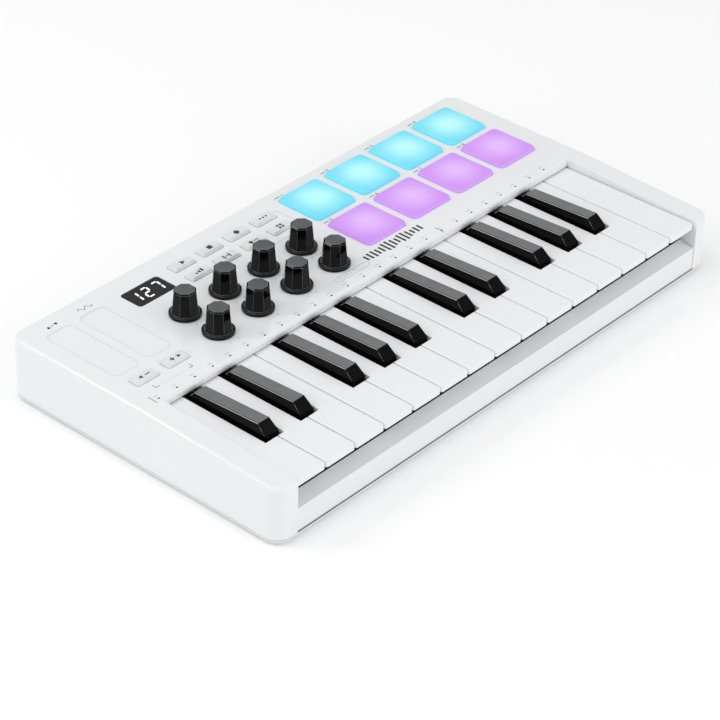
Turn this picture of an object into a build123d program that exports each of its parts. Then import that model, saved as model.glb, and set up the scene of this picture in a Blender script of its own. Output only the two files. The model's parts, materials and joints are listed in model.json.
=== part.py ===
from build123d import *
import os

# A 25-key mini controller keyboard, in millimetres.
# X runs along the keys, +Y to the rear, +Z up; the origin is under the middle of the case,
# on the plane of the rubber feet. Depths named "reach" are measured from the front face.

# ---- case ----
cheek_width = 12.7        # end block beside the outermost key
key_reach = 82.0          # front face to the front edge of the control panel
panel_reach = 90.0        # front edge of the control panel to the rear face
panel_top = 34.0
panel_thick = 2.4
cheek_front_top = 30.9    # the end blocks fall gently to this height at the front
wall = 2.2
corner_radius = 8.0
edge_radius = 2.4
foot_rise = 1.0
plate_thick = 2.0
plate_inset = 0.6
shelf_top = 15.7          # ledge under the key fronts
shelf_reach = 8.7
front_setback = 0.5
lip_gap = 0.7             # slot between the panel lip and the key tops

# ---- keys ----
white_count = 15
key_pitch = 19.6
key_gap = 0.7
key_front = 1.7
key_drop = 4.1            # key tops below the panel
key_plate = 2.0
key_lip = 3.4
key_lip_thick = 1.8
key_corner = 1.2
key_edge = 0.6
key_wall = 1.3
channel_inset = 0.3       # channel walls inside the key's edges
well_clearance = 0.3
black_width = 8.4
black_top_width = 7.2
black_front = 32.65
black_rear = 79.8
black_front_rise = 5.8
black_rear_rise = 3.7
black_front_slope = 4.95
black_rear_slope = 2.6
black_skirt = 1.2
black_gap = 1.75
black_edge = 0.6
black_sink = 1.0          # how far a black key's block reaches below the white keys' plates
channel_depth = 8.4
key_tail_reach = 4.0      # how far each key runs back under the panel lip

# ---- key hinge, guides and plungers ----
hinge_reach = 8.0         # hinge axis behind the panel's front edge
hinge_z = 24.0
bar_radius = 1.25
hinge_clearance = 0.05
snap_opening = 2.0
hook_half = 3.2
ear_thick = 1.2
ear_clearance = 0.45
black_tail_width = 8.0
plunger_y = 48.0
plunger_size = (4.6, 3.4)
guide_size = (4.0, 1.6)
guide_toe = 1.8
guide_toe_height = 2.2
white_guide_y = 14.8
black_guide_y = 36.0
white_guide_lead = 3.0    # channel ahead of the guide
black_guide_lead = 3.2
hook_inset = 0.3
rest_gap = 0.3            # between a moving piece and its seat
swing_room = 0.8          # extra slot length for the arc a plunger swings through
slot_gap = 0.4

# ---- key bed ----
deck_under = 12.6
deck_thick = 2.0
bed_front = 10.0
bed_wall = 1.6
bed_side_gap = 0.5
beam_height = 5.2
beam_front = 3.0          # beam under the hinge bar, ahead of its axis and behind it
beam_rear = 5.0
ear_depth = 5.0
ear_over = 0.8            # ear above the hinge bar
strip_end = 3.0
contact_board_end = 2.0
strip_thick = 1.0
strip_width = 10.0
strip_split = 2.0
dome_height = 3.0
dome_radius = 3.6
dome_top_radius = 2.4
board_thick = 1.6
contact_board_width = 16.0
bed_screw_shares = (-0.47, -0.16, 0.16, 0.47)     # across the row of keys
bed_screw_ends = (26.0, 8.0)       # behind the case front, and ahead of the panel's edge
contact_post_shares = (-0.47, -0.235, 0.0, 0.235, 0.47)

# ---- knobs and encoders ----
knob_columns = 4
knob_rows = 2
knob_pitch = (26.9, 21.7)
knob_left = 69.4          # first column from the left face
knob_rear = 47.5          # rear row from the rear face
knob_radius = 8.0
knob_rim = 1.2
knob_skirt = 2.6
knob_base_across = 12.8
knob_top_across = 10.6
knob_height = 13.6
knob_lift = 0.4
knob_fillet = 0.6
knob_recess = 1.2         # hollow under the knob, around and above the bushing
knob_cap = 2.5            # solid top above the shaft bore
shaft_radius = 3.0
shaft_clearance = 0.06
grip_clearance = 0.02
bushing_radius = 3.5
bushing_rise = 1.2
bushing_hole_gap = 0.2
encoder_size = 12.0
encoder_height = 6.5
encoder_floor = 1.4
encoder_standoff_gap = 0.2

# ---- pads ----
pad_columns = 4
pad_rows = 2
pad_size = 28.2
pad_gap = (6.0, 5.3)
pad_right = 29.4          # last column from the right face
pad_rear = 23.3           # rear row from the rear face
pad_corner = 2.5
pad_proud = 2.3
pad_clearance = 0.4
pad_travel = 0.8
pad_edge = 0.7
pad_stop_gap = 0.7        # left under the pad's skirt when it is fully pressed
pad_skirt_inset = 1.0
pad_hollow = 3.2
pad_roof = 1.0            # hollow's roof below the panel's top
pad_flange_width = 1.3
pad_lamp = (3.5, 2.8, 1.4)

# ---- buttons ----
button_size = (14.1, 6.6)
button_gap = (4.95, 5.1)
button_left = 98.9        # first of the four columns from the left face
button_rear = 16.1        # rear row from the rear face
octave_left = (19.4, 39.1)
octave_rear = 70.8
button_corner = 1.2
button_proud = 1.5
button_clearance = 0.25
button_travel = 0.6
button_taper = 18.0       # slope of the cap's sides, in degrees
flange_side = 0.8
flange_thick = 1.4
stem_radius = 1.6

# ---- display and touch strips ----
window_size = (24.7, 14.4)
window_place = (71.3, 21.0)   # centre from the left face and from the rear face
window_corner = 2.0
window_thick = 1.6
window_ledge = 1.0
window_clearance = 0.1
window_chamfer = 0.2
display_gap = 0.3
strip_size = (14.5, 47.0)
strip_left = (18.6, 39.6)
strip_rear = 37.5
strip_corner = 3.0
strip_recess = 0.4
sensor_thick = 0.8

# ---- boards, sockets and battery ----
panel_board_drop = 7.6    # board top below the panel's underside
pad_board_drop = 6.0
board_setback = 13.0      # panel boards behind the panel's front edge
board_wall_gap = 0.6
board_boss_gap = 1.0
standoff_radius = 2.4
standoff_inset = 3.0
pad_standoff_inset = (4.0, 1.9)
display_standoff = 16.0   # beside the display's centre
rear_standoff_inset = 8.0
stake_radius = 1.0
stake_clearance = 0.05
stake_proud = 0.4
switch_size = 6.0
switch_height = 3.5
switch_plunger = 0.5
switch_plunger_radius = 1.7
main_board_size = (120.0, 38.0)
main_board_rise = 6.0
main_post_inset = 4.0
usb_size = (8.94, 3.26, 7.4)
usb_left = 100.0          # socket centre from the left face
usb_clearance = 0.3
usb_setback = 0.6         # socket mouth inside the rear face
usb_shell = 0.3
usb_tongue = (6.7, 0.7)
usb_back = 1.0
battery_size = (60.0, 26.0, 6.0)
battery_gap = 4.0

# ---- screws and feet ----
boss_radius = 3.2
boss_wall_gap = 0.8
boss_pad_gap = 8.0        # middle boss beside the first pad
boss_root = 0.6           # how far an end block's boss runs into its sloping roof
panel_screw_reach = 3.0   # behind the panel's front edge
rear_screw_inset = 12.0
cheek_screw_reach = 14.0
screw_radius = 1.3
screw_clearance = 0.05
screw_length = 9.0
head_radius = 2.5
head_height = 1.5
head_sunk = 0.5
head_clearance = 0.3
shank_clearance = 0.2
tip_clearance = 1.0
bed_pilot_roof = 0.6
cross_size = (2.6, 0.6, 0.8)
cup_radius = 3.2
cup_clearance = 0.05
cup_height = 2.0
foot_radius = 6.0
foot_seat = 0.6
foot_clearance = 0.05
foot_chamfer = 0.4
foot_place = (20.0, 16.0)

# ---- derived ----
key_span = white_count * key_pitch
well_half = key_span / 2 + well_clearance
case_width = 2 * (well_half + cheek_width)
case_depth = key_reach + panel_reach
left_x = -case_width / 2
right_x = case_width / 2
rear_y = case_depth / 2
front_y = -case_depth / 2
panel_y = front_y + key_reach
panel_under = panel_top - panel_thick
key_top = panel_top - key_drop
parting = foot_rise + plate_thick
seat_z = parting + cup_height
head_z = foot_rise + head_sunk
shank_z = head_z + head_height
pilot_z = shank_z + screw_length + tip_clearance
deck_top = deck_under + deck_thick
hinge_y = panel_y + hinge_reach
channel_bottom = key_top - key_plate - channel_depth
plate_under = key_top - key_plate
board_top = seat_z + board_thick
dome_top = board_top + strip_thick + dome_height
panel_board_top = panel_under - panel_board_drop
pad_board_top = panel_under - pad_board_drop
flange_top = panel_under - rest_gap
pad_bottom = pad_board_top + pad_travel + pad_stop_gap
well_inner = well_half + wall
above = panel_top + 20.0
octave_pattern = {0: -1.7, 1: 1.7, 3: -2.3, 4: 0.0, 5: 2.3}

os.makedirs("parts", exist_ok=True)


def black_centre(index):
    """X of the black key to the right of white key number index, or None."""
    if index < 0 or index >= white_count - 1 or index % 7 not in octave_pattern:
        return None
    return (index + 1) * key_pitch - key_span / 2 + octave_pattern[index % 7]


def white_edges(index):
    """Left and right edges of a white key at its front and beside the black keys."""
    left = index * key_pitch - key_span / 2 + key_gap / 2
    right = left + key_pitch - key_gap
    before = black_centre(index - 1)
    after = black_centre(index)
    reach = black_width / 2 + black_gap
    rear_left = left if before is None else before + reach
    rear_right = right if after is None else after - reach
    return left, right, rear_left, rear_right


black_centres = [black_centre(i) for i in range(white_count) if black_centre(i) is not None]
white_tails = []
for index in range(white_count):
    _, _, tail_left, tail_right = white_edges(index)
    white_tails.append((tail_left + tail_right) / 2)
plunger_places = sorted(white_tails + black_centres)
knob_places = []
for row in range(knob_rows):
    for column in range(knob_columns):
        knob_places.append((left_x + knob_left + column * knob_pitch[0],
                            rear_y - knob_rear - row * knob_pitch[1]))
pad_pitch = (pad_size + pad_gap[0], pad_size + pad_gap[1])
pad_places = []
for row in range(pad_rows):
    for column in range(pad_columns):
        pad_places.append((right_x - pad_right - (pad_columns - 1 - column) * pad_pitch[0],
                           rear_y - pad_rear - row * pad_pitch[1]))
button_pitch = (button_size[0] + button_gap[0], button_size[1] + button_gap[1])
button_places = []
for row in range(2):
    for column in range(4):
        button_places.append((left_x + button_left + column * button_pitch[0],
                              rear_y - button_rear - row * button_pitch[1]))
button_places += [(left_x + offset, rear_y - octave_rear) for offset in octave_left]
window_xy = (left_x + window_place[0], rear_y - window_place[1])
strip_places = [(left_x + offset, rear_y - strip_rear) for offset in strip_left]
cheek_x = case_width / 2 - cheek_width / 2
middle_boss_x = pad_places[0][0] - pad_size / 2 - boss_pad_gap
panel_boss_y = rear_y - wall - boss_radius - boss_wall_gap
shelf_screw_y = front_y + front_setback + wall + cup_radius + cup_clearance
panel_screws = [(side * cheek_x, y) for y in (panel_y + panel_screw_reach, rear_y - rear_screw_inset)
                for side in (-1, 1)] + [(middle_boss_x, panel_boss_y)]
cheek_screws = [(side * cheek_x, front_y + cheek_screw_reach) for side in (-1, 1)]
shelf_screws = [(side * key_span / 4, shelf_screw_y) for side in (-1, 1)]
bed_screws = [(share * key_span, y) for share in bed_screw_shares
              for y in (front_y + bed_screw_ends[0], panel_y - bed_screw_ends[1])]
screw_places = panel_screws + cheek_screws + shelf_screws + bed_screws
foot_places = [(sx * (case_width / 2 - foot_place[0]), sy * (case_depth / 2 - foot_place[1]))
               for sx in (-1, 1) for sy in (-1, 1)]
left_board = (left_x + cheek_width / 2 + boss_radius + board_boss_gap,
              middle_boss_x - boss_radius - board_boss_gap)
right_board = (middle_boss_x + boss_radius + board_boss_gap,
               right_x - cheek_width / 2 - boss_radius - board_boss_gap)
board_front = panel_y + board_setback
board_rear = rear_y - wall - board_wall_gap
octave_rear_edge = rear_y - octave_rear + button_size[1] / 2 + button_clearance + flange_side
touch_front_edge = rear_y - strip_rear - strip_size[1] / 2
display_standoff_x = window_xy[0] - display_standoff
encoder_standoff_x = knob_places[-1][0] + encoder_size / 2 + encoder_standoff_gap + standoff_radius
left_standoffs = [(left_board[0] + standoff_inset, (octave_rear_edge + touch_front_edge) / 2),
                  (display_standoff_x, board_front + standoff_inset),
                  (encoder_standoff_x, board_front + standoff_inset),
                  (left_board[0] + standoff_inset, board_rear - standoff_inset),
                  (display_standoff_x, board_rear - standoff_inset),
                  (left_board[1] - rear_standoff_inset, board_rear - standoff_inset)]
right_standoffs = [(x, y) for x in (right_board[0] + pad_standoff_inset[0],
                                    (right_board[0] + right_board[1]) / 2,
                                    right_board[1] - pad_standoff_inset[0])
                   for y in (board_front + stake_radius, board_rear - pad_standoff_inset[1])]
usb_x = left_x + usb_left
main_board_xy = (usb_x, board_rear - main_board_size[1] / 2)
main_board_top = parting + main_board_rise + board_thick
main_posts = [(main_board_xy[0] + sx * (main_board_size[0] / 2 - main_post_inset),
               main_board_xy[1] + sy * (main_board_size[1] / 2 - main_post_inset))
              for sx in (-1, 1) for sy in (-1, 1)]
contact_board_y = front_y + plunger_y
contact_posts = [(share * key_span, contact_board_y) for share in contact_post_shares]


def case_profile(plane, drop, front, rear):
    """Side outline of the case, lowered by drop, between two depths."""
    slope_z = cheek_front_top - drop
    points = [(front, parting), (rear, parting), (rear, panel_top - drop),
              (panel_y, panel_top - drop), (front, slope_z)]
    with BuildSketch(plane) as outline:
        with BuildLine():
            Polyline(*points, close=True)
        make_face()
    return outline.sketch


def box_between(x0, x1, y0, y1, z0, z1, mode=Mode.ADD):
    """A box between two corners, added to or cut from the part being built."""
    with BuildSketch(Plane.XY.offset(z0)) as base:
        with Locations(((x0 + x1) / 2, (y0 + y1) / 2)):
            Rectangle(x1 - x0, y1 - y0)
    extrude(base.sketch, amount=z1 - z0, mode=mode)


def posts(places, radius, z0, z1, mode=Mode.ADD):
    """Round posts or holes at several places."""
    with BuildSketch(Plane.XY.offset(z0)) as base:
        with Locations(*places):
            Circle(radius)
    extrude(base.sketch, amount=z1 - z0, mode=mode)


def finish(part, name):
    part.label = name
    export_step(part, "parts/" + name + ".step")
    print(name, round(part.volume))


# ---- top case: end blocks, control panel, rear wall and front ledge in one moulding ----
with BuildPart() as top_case:
    add(extrude(case_profile(Plane.YZ, 0, front_y, rear_y), amount=case_width / 2, both=True,
                mode=Mode.PRIVATE))
    with BuildSketch(Plane.XY):
        RectangleRounded(case_width, case_depth, corner_radius)
    extrude(amount=above, mode=Mode.INTERSECT)
    top_rim = [edge for edge in top_case.faces().filter_by(lambda f: f.normal_at().Z > 0.9).edges()
               if abs(edge.center().X) > 1 or abs(edge.center().Y - panel_y) > 1]
    fillet(top_rim, edge_radius)

    # hollow under the control panel and inside both end blocks
    with BuildSketch(Plane.XY.offset(parting)):
        with Locations((0, (panel_y + wall + rear_y - wall) / 2)):
            Rectangle(case_width - 2 * wall, panel_reach - 2 * wall)
        rear_corners = [v for v in vertices() if v.Y > 0]
        fillet(rear_corners, corner_radius - wall)
    extrude(amount=panel_under - parting, mode=Mode.SUBTRACT)
    for side in (-1, 1):
        cheek = extrude(case_profile(Plane.YZ.offset(side * (well_inner + cheek_width / 2 - wall)),
                                     panel_thick, front_y + wall, panel_y + wall),
                        amount=cheek_width / 2 - wall, both=True, mode=Mode.PRIVATE)
        front_uprights = cheek.edges().filter_by(Axis.Z).group_by(Axis.Y)[0]
        outer_upright = front_uprights.sort_by(lambda e: abs(e.center().X))[-1]
        add(cheek.fillet(corner_radius - wall, [outer_upright]), mode=Mode.SUBTRACT)

    # key well, with the front ledge left standing
    box_between(-well_half, well_half, front_y - 1, panel_y, shelf_top, above, Mode.SUBTRACT)
    box_between(-well_half, well_half, front_y - 1, front_y + front_setback, 0, above, Mode.SUBTRACT)
    box_between(-well_half, well_half, front_y + shelf_reach, panel_y + 2 * wall, parting,
                key_top + lip_gap, Mode.SUBTRACT)
    box_between(-well_half, well_half, front_y + front_setback + wall, front_y + shelf_reach + 1,
                parting, shelf_top - wall, Mode.SUBTRACT)
    # round over the panel's front edge
    with BuildSketch(Plane.YZ):
        with Locations((panel_y + edge_radius, panel_top - edge_radius)):
            Rectangle(2 * edge_radius, 2 * edge_radius, align=(Align.MAX, Align.MIN))
            Circle(edge_radius, mode=Mode.SUBTRACT)
    extrude(amount=well_half, both=True, mode=Mode.SUBTRACT)

    # screw bosses and board standoffs
    posts(panel_screws, boss_radius, seat_z, panel_under)
    posts(cheek_screws, boss_radius, seat_z, cheek_front_top - panel_thick + boss_root)
    posts(shelf_screws, boss_radius, seat_z, shelf_top - wall)
    posts(panel_screws + cheek_screws + shelf_screws, screw_radius + screw_clearance, seat_z, pilot_z,
          Mode.SUBTRACT)
    posts(left_standoffs, standoff_radius, panel_board_top, panel_under)
    posts(left_standoffs, stake_radius, panel_board_top - board_thick - stake_proud, panel_board_top)
    posts(right_standoffs, standoff_radius, pad_board_top, panel_under)
    posts(right_standoffs, stake_radius, pad_board_top - board_thick - stake_proud, pad_board_top)

    # openings in the control panel
    with BuildSketch(Plane.XY.offset(panel_under)):
        with Locations(*knob_places):
            Circle(bushing_radius + bushing_hole_gap)
        with Locations(*button_places):
            RectangleRounded(button_size[0] + 2 * button_clearance,
                             button_size[1] + 2 * button_clearance, button_corner + button_clearance)
        with Locations(*pad_places):
            RectangleRounded(pad_size + 2 * pad_clearance, pad_size + 2 * pad_clearance,
                             pad_corner + pad_clearance)
        with Locations(window_xy):
            RectangleRounded(window_size[0] - 2 * window_ledge, window_size[1] - 2 * window_ledge,
                             window_corner - window_ledge)
    extrude(amount=panel_thick, mode=Mode.SUBTRACT)
    with BuildSketch(Plane.XY.offset(panel_top - window_thick - window_clearance)):
        with Locations(window_xy):
            RectangleRounded(window_size[0] + 2 * window_clearance, window_size[1] + 2 * window_clearance,
                             window_corner + window_clearance)
    extrude(amount=window_thick + window_clearance, mode=Mode.SUBTRACT)
    with BuildSketch(Plane.XY.offset(panel_top - strip_recess)):
        with Locations(*strip_places):
            RectangleRounded(*strip_size, strip_corner)
    extrude(amount=strip_recess, mode=Mode.SUBTRACT)

    # slot for the socket in the rear wall
    with BuildSketch(Plane.XZ.offset(-rear_y)):
        with Locations((usb_x, main_board_top + usb_size[1] / 2)):
            RectangleRounded(usb_size[0] + 2 * usb_clearance, usb_size[1] + 2 * usb_clearance,
                             usb_size[1] / 2)
    extrude(amount=2 * wall, mode=Mode.SUBTRACT)
finish(top_case.part, "top_case")

# ---- bottom case: floor plate with screw cups and board posts ----
with BuildPart() as bottom_case:
    with BuildSketch(Plane.XY.offset(foot_rise)):
        RectangleRounded(case_width - 2 * plate_inset, case_depth - 2 * plate_inset,
                         corner_radius - plate_inset)
    extrude(amount=plate_thick)
    chamfer(bottom_case.faces().sort_by(Axis.Z)[0].edges(), plate_inset)
    posts(screw_places, cup_radius, parting, seat_z)
    posts(contact_posts, standoff_radius, parting, seat_z)
    posts(main_posts, standoff_radius, parting, parting + main_board_rise)
    posts(screw_places, head_radius + head_clearance, foot_rise, shank_z, Mode.SUBTRACT)
    posts(screw_places, screw_radius + shank_clearance, foot_rise, seat_z, Mode.SUBTRACT)
    posts(foot_places, foot_radius + foot_clearance, foot_rise, foot_rise + foot_seat, Mode.SUBTRACT)
finish(bottom_case.part, "bottom_case")

# ---- identical screws through the floor plate ----
with BuildPart() as case_screws:
    posts(screw_places, head_radius, head_z, shank_z)
    posts(screw_places, screw_radius, shank_z, shank_z + screw_length)
    with BuildSketch(Plane.XY.offset(head_z)):
        with Locations(*screw_places):
            Rectangle(cross_size[0], cross_size[1])
            Rectangle(cross_size[1], cross_size[0])
    extrude(amount=cross_size[2], mode=Mode.SUBTRACT)
finish(case_screws.part, "case_screws")

# ---- rubber feet ----
with BuildPart() as rubber_feet:
    posts(foot_places, foot_radius, 0, foot_rise + foot_seat)
    chamfer(rubber_feet.edges().filter_by(GeomType.CIRCLE).group_by(Axis.Z)[0], foot_chamfer)
finish(rubber_feet.part, "rubber_feet")

# ---- key bed: slotted deck, hinge bar on ears, and screw bosses ----
bed_half = well_half - bed_side_gap
ear_offset = black_tail_width / 2 + ear_clearance + ear_thick / 2
ear_places = [x + s * ear_offset for x in black_centres for s in (-1, 1)]
ear_places += [-bed_half + ear_thick / 2, bed_half - ear_thick / 2]
with BuildPart() as key_bed:
    box_between(-bed_half, bed_half, front_y + bed_front, hinge_y + beam_rear, deck_under, deck_top)
    box_between(-bed_half, bed_half, front_y + bed_front, front_y + bed_front + bed_wall, seat_z,
                deck_under)
    box_between(-bed_half, bed_half, hinge_y - beam_front, hinge_y + beam_rear, deck_top,
                deck_top + beam_height)
    with BuildSketch(Plane.XY.offset(deck_top + beam_height)):
        with Locations(*[(x, hinge_y) for x in ear_places]):
            Rectangle(ear_thick, ear_depth)
    extrude(amount=hinge_z + bar_radius + ear_over - deck_top - beam_height)
    with BuildSketch(Plane.YZ):
        with Locations((hinge_y, hinge_z)):
            Circle(bar_radius)
    extrude(amount=bed_half, both=True)
    posts(bed_screws, boss_radius, seat_z, deck_under)
    posts(bed_screws, screw_radius + screw_clearance, seat_z, deck_top - bed_pilot_roof, Mode.SUBTRACT)
    with BuildSketch(Plane.XY.offset(deck_under)):
        with Locations(*[(x, contact_board_y + swing_room / 2) for x in plunger_places]):
            Rectangle(plunger_size[0] + 2 * slot_gap, plunger_size[1] + 2 * slot_gap + swing_room)
        with Locations(*[(x, front_y + white_guide_y + swing_room / 2) for x in white_tails]):
            Rectangle(guide_size[0] + 2 * slot_gap, guide_size[1] + 2 * slot_gap + swing_room)
        with Locations(*[(x, front_y + black_guide_y + swing_room / 2) for x in black_centres]):
            Rectangle(guide_size[0] + 2 * slot_gap, guide_size[1] + 2 * slot_gap + swing_room)
    extrude(amount=deck_thick, mode=Mode.SUBTRACT)
finish(key_bed.part, "key_bed")


def key_works(x, tail_left, tail_right, guide_y, channel_front, hook_left, hook_right, roof):
    """Hollow channel, plunger, guide and snap hook under one key, added to the part being built."""
    rear = panel_y + key_tail_reach
    box_between(tail_left, tail_right, channel_front, rear, channel_bottom, roof)
    box_between(tail_left + key_wall, tail_right - key_wall, channel_front + key_wall, rear - key_wall,
                channel_bottom, roof, Mode.SUBTRACT)
    box_between(x - plunger_size[0] / 2, x + plunger_size[0] / 2,
                contact_board_y - plunger_size[1] / 2, contact_board_y + plunger_size[1] / 2,
                dome_top + rest_gap, roof)
    box_between(x - guide_size[0] / 2, x + guide_size[0] / 2,
                front_y + guide_y - guide_size[1] / 2, front_y + guide_y + guide_size[1] / 2,
                deck_under - rest_gap - guide_toe_height, roof)
    box_between(x - guide_size[0] / 2, x + guide_size[0] / 2,
                front_y + guide_y - guide_size[1] / 2 - guide_toe, front_y + guide_y,
                deck_under - rest_gap - guide_toe_height, deck_under - rest_gap)
    with BuildSketch(Plane.YZ.offset(hook_left)) as hook:
        with Locations(((rear - key_wall + hinge_y + hook_half) / 2, hinge_z)):
            Rectangle(hinge_y + hook_half - rear + key_wall, 2 * hook_half)
        with Locations((hinge_y, hinge_z)):
            Circle(bar_radius + hinge_clearance, mode=Mode.SUBTRACT)
        with Locations((hinge_y, hinge_z - hook_half / 2)):
            Rectangle(snap_opening, hook_half, mode=Mode.SUBTRACT)
    extrude(hook.sketch, amount=hook_right - hook_left)


# ---- white keys ----
for index in range(white_count):
    left, right, rear_left, rear_right = white_edges(index)
    hook_left = rear_left + hook_inset
    hook_right = rear_right - hook_inset
    if index == 0:
        hook_left += ear_thick + ear_clearance
    if index == white_count - 1:
        hook_right -= ear_thick + ear_clearance
    with BuildPart() as white_key:
        with BuildSketch(Plane.XY.offset(plate_under)) as plate:
            with Locations(((left + right) / 2, front_y + (key_front + black_front - black_gap) / 2)):
                Rectangle(right - left, black_front - black_gap - key_front)
            with Locations(((rear_left + rear_right) / 2,
                            (front_y + key_front + 2 * key_corner + panel_y + key_tail_reach) / 2)):
                Rectangle(rear_right - rear_left, key_reach + key_tail_reach - key_front - 2 * key_corner)
            fillet(plate.vertices().group_by(Axis.Y)[0], key_corner)
        extrude(amount=key_plate)
        with BuildSketch(Plane.XY.offset(key_top - key_lip)) as lip:
            with Locations(((left + right) / 2, front_y + key_front + key_lip_thick / 2)):
                Rectangle(right - left, key_lip_thick)
            fillet(lip.vertices().group_by(Axis.Y)[0], key_corner)
        extrude(amount=key_lip - key_plate)
        fillet(white_key.faces().sort_by(Axis.Z)[-1].edges(), key_edge)
        key_works((rear_left + rear_right) / 2, rear_left + channel_inset, rear_right - channel_inset,
                  white_guide_y, front_y + white_guide_y - white_guide_lead, hook_left, hook_right,
                  plate_under)
    finish(white_key.part, f"white_key_{index + 1:02d}")

# ---- black keys ----
black_roof = key_top + black_skirt
black_under = plate_under - black_sink
for index, x in enumerate(black_centres):
    top_front = front_y + black_front + black_front_slope
    top_rear = front_y + black_rear - black_rear_slope
    front_z = key_top + black_front_rise
    rear_z = key_top + black_rear_rise
    with BuildPart() as black_key:
        with BuildSketch(Plane.XY.offset(black_under)):
            with Locations((x, front_y + (black_front + black_rear) / 2)):
                Rectangle(black_width, black_rear - black_front)
        extrude(amount=black_roof - black_under)
        with BuildSketch(Plane(origin=(x, front_y + (black_front + black_rear) / 2, black_roof))):
            Rectangle(black_width, black_rear - black_front)
        top_plane = Plane(origin=(x, (top_front + top_rear) / 2, (front_z + rear_z) / 2),
                          x_dir=(1, 0, 0), z_dir=(0, front_z - rear_z, top_rear - top_front))
        with BuildSketch(top_plane):
            Rectangle(black_top_width, ((top_rear - top_front) ** 2 + (front_z - rear_z) ** 2) ** 0.5)
        loft(ruled=True)
        fillet([edge for edge in black_key.edges() if edge.center().Z > black_roof + 0.1], black_edge)
        tail_left = x - black_tail_width / 2
        tail_right = x + black_tail_width / 2
        key_works(x, tail_left, tail_right, black_guide_y, front_y + black_guide_y - black_guide_lead,
                  tail_left, tail_right, black_under)
    finish(black_key.part, f"black_key_{index + 1:02d}")

# ---- rubber contact strips, one dome under each key ----
strip_ends = [(-bed_half + strip_end, -strip_split / 2), (strip_split / 2, bed_half - strip_end)]
with BuildPart() as contact_strips:
    for start, end in strip_ends:
        box_between(start, end, contact_board_y - strip_width / 2, contact_board_y + strip_width / 2,
                    board_top, board_top + strip_thick)
    with Locations(*[(x, contact_board_y, board_top + strip_thick) for x in plunger_places]):
        Cone(dome_radius, dome_top_radius, dome_height, align=(Align.CENTER, Align.CENTER, Align.MIN))
finish(contact_strips.part, "contact_strips")

# ---- circuit boards: key contacts, left panel, pads, main board, touch sensors ----
with BuildPart() as circuit_boards:
    box_between(-bed_half + contact_board_end, bed_half - contact_board_end,
                contact_board_y - contact_board_width / 2, contact_board_y + contact_board_width / 2,
                seat_z, board_top)
    box_between(*left_board, board_front, board_rear, panel_board_top - board_thick, panel_board_top)
    posts(left_standoffs, stake_radius + stake_clearance, panel_board_top - board_thick,
          panel_board_top, Mode.SUBTRACT)
    box_between(*right_board, board_front, board_rear, pad_board_top - board_thick, pad_board_top)
    posts(right_standoffs, stake_radius + stake_clearance, pad_board_top - board_thick,
          pad_board_top, Mode.SUBTRACT)
    box_between(main_board_xy[0] - main_board_size[0] / 2, main_board_xy[0] + main_board_size[0] / 2,
                main_board_xy[1] - main_board_size[1] / 2, main_board_xy[1] + main_board_size[1] / 2,
                main_board_top - board_thick, main_board_top)
    with BuildSketch(Plane.XY.offset(panel_under - sensor_thick)):
        with Locations(*strip_places):
            Rectangle(*strip_size)
    extrude(amount=sensor_thick)
finish(circuit_boards.part, "circuit_boards")

# ---- parts soldered to the boards ----
with BuildPart() as board_components:
    with BuildSketch(Plane.XY.offset(panel_board_top)):
        with Locations(*knob_places):
            Rectangle(encoder_size, encoder_size)
    extrude(amount=encoder_height)
    posts(knob_places, bushing_radius, panel_board_top + encoder_height, panel_top + bushing_rise)
    posts(knob_places, shaft_radius + shaft_clearance, panel_board_top + encoder_floor, above,
          Mode.SUBTRACT)
    with BuildSketch(Plane.XY.offset(panel_board_top)):
        with Locations(*button_places):
            Rectangle(switch_size, switch_size)
    extrude(amount=switch_height)
    posts(button_places, switch_plunger_radius, panel_board_top + switch_height,
          panel_board_top + switch_height + switch_plunger)
    with BuildSketch(Plane.XY.offset(panel_board_top)):
        with Locations(window_xy):
            Rectangle(window_size[0] - 2 * (window_ledge + display_gap),
                      window_size[1] - 2 * (window_ledge + display_gap))
    extrude(amount=panel_top - window_thick - window_clearance - display_gap - panel_board_top)
    with BuildSketch(Plane.XY.offset(pad_board_top)):
        with Locations(*pad_places):
            Rectangle(pad_lamp[0], pad_lamp[1])
    extrude(amount=pad_lamp[2])
    with BuildSketch(Plane.XZ.offset(-(rear_y - usb_setback))):
        with Locations((usb_x, main_board_top + usb_size[1] / 2)):
            SlotOverall(usb_size[0], usb_size[1])
    extrude(amount=usb_size[2])
    with BuildSketch(Plane.XZ.offset(-(rear_y - usb_setback))):
        with Locations((usb_x, main_board_top + usb_size[1] / 2)):
            SlotOverall(usb_size[0] - 2 * usb_shell, usb_size[1] - 2 * usb_shell)
            SlotOverall(usb_tongue[0], usb_tongue[1], mode=Mode.SUBTRACT)
    extrude(amount=usb_size[2] - usb_back, mode=Mode.SUBTRACT)
    battery_y = main_board_xy[1] - main_board_size[1] / 2 - battery_gap - battery_size[1] / 2
    box_between(usb_x - battery_size[0] / 2, usb_x + battery_size[0] / 2,
                battery_y - battery_size[1] / 2, battery_y + battery_size[1] / 2,
                parting, parting + battery_size[2])
finish(board_components.part, "board_components")

# ---- display window ----
with BuildPart() as display_window:
    with BuildSketch(Plane.XY.offset(panel_top - window_thick - window_clearance)):
        with Locations(window_xy):
            RectangleRounded(*window_size, window_corner)
    extrude(amount=window_thick)
    chamfer(display_window.faces().sort_by(Axis.Z)[-1].edges(), window_chamfer)
finish(display_window.part, "display_window")

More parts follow.
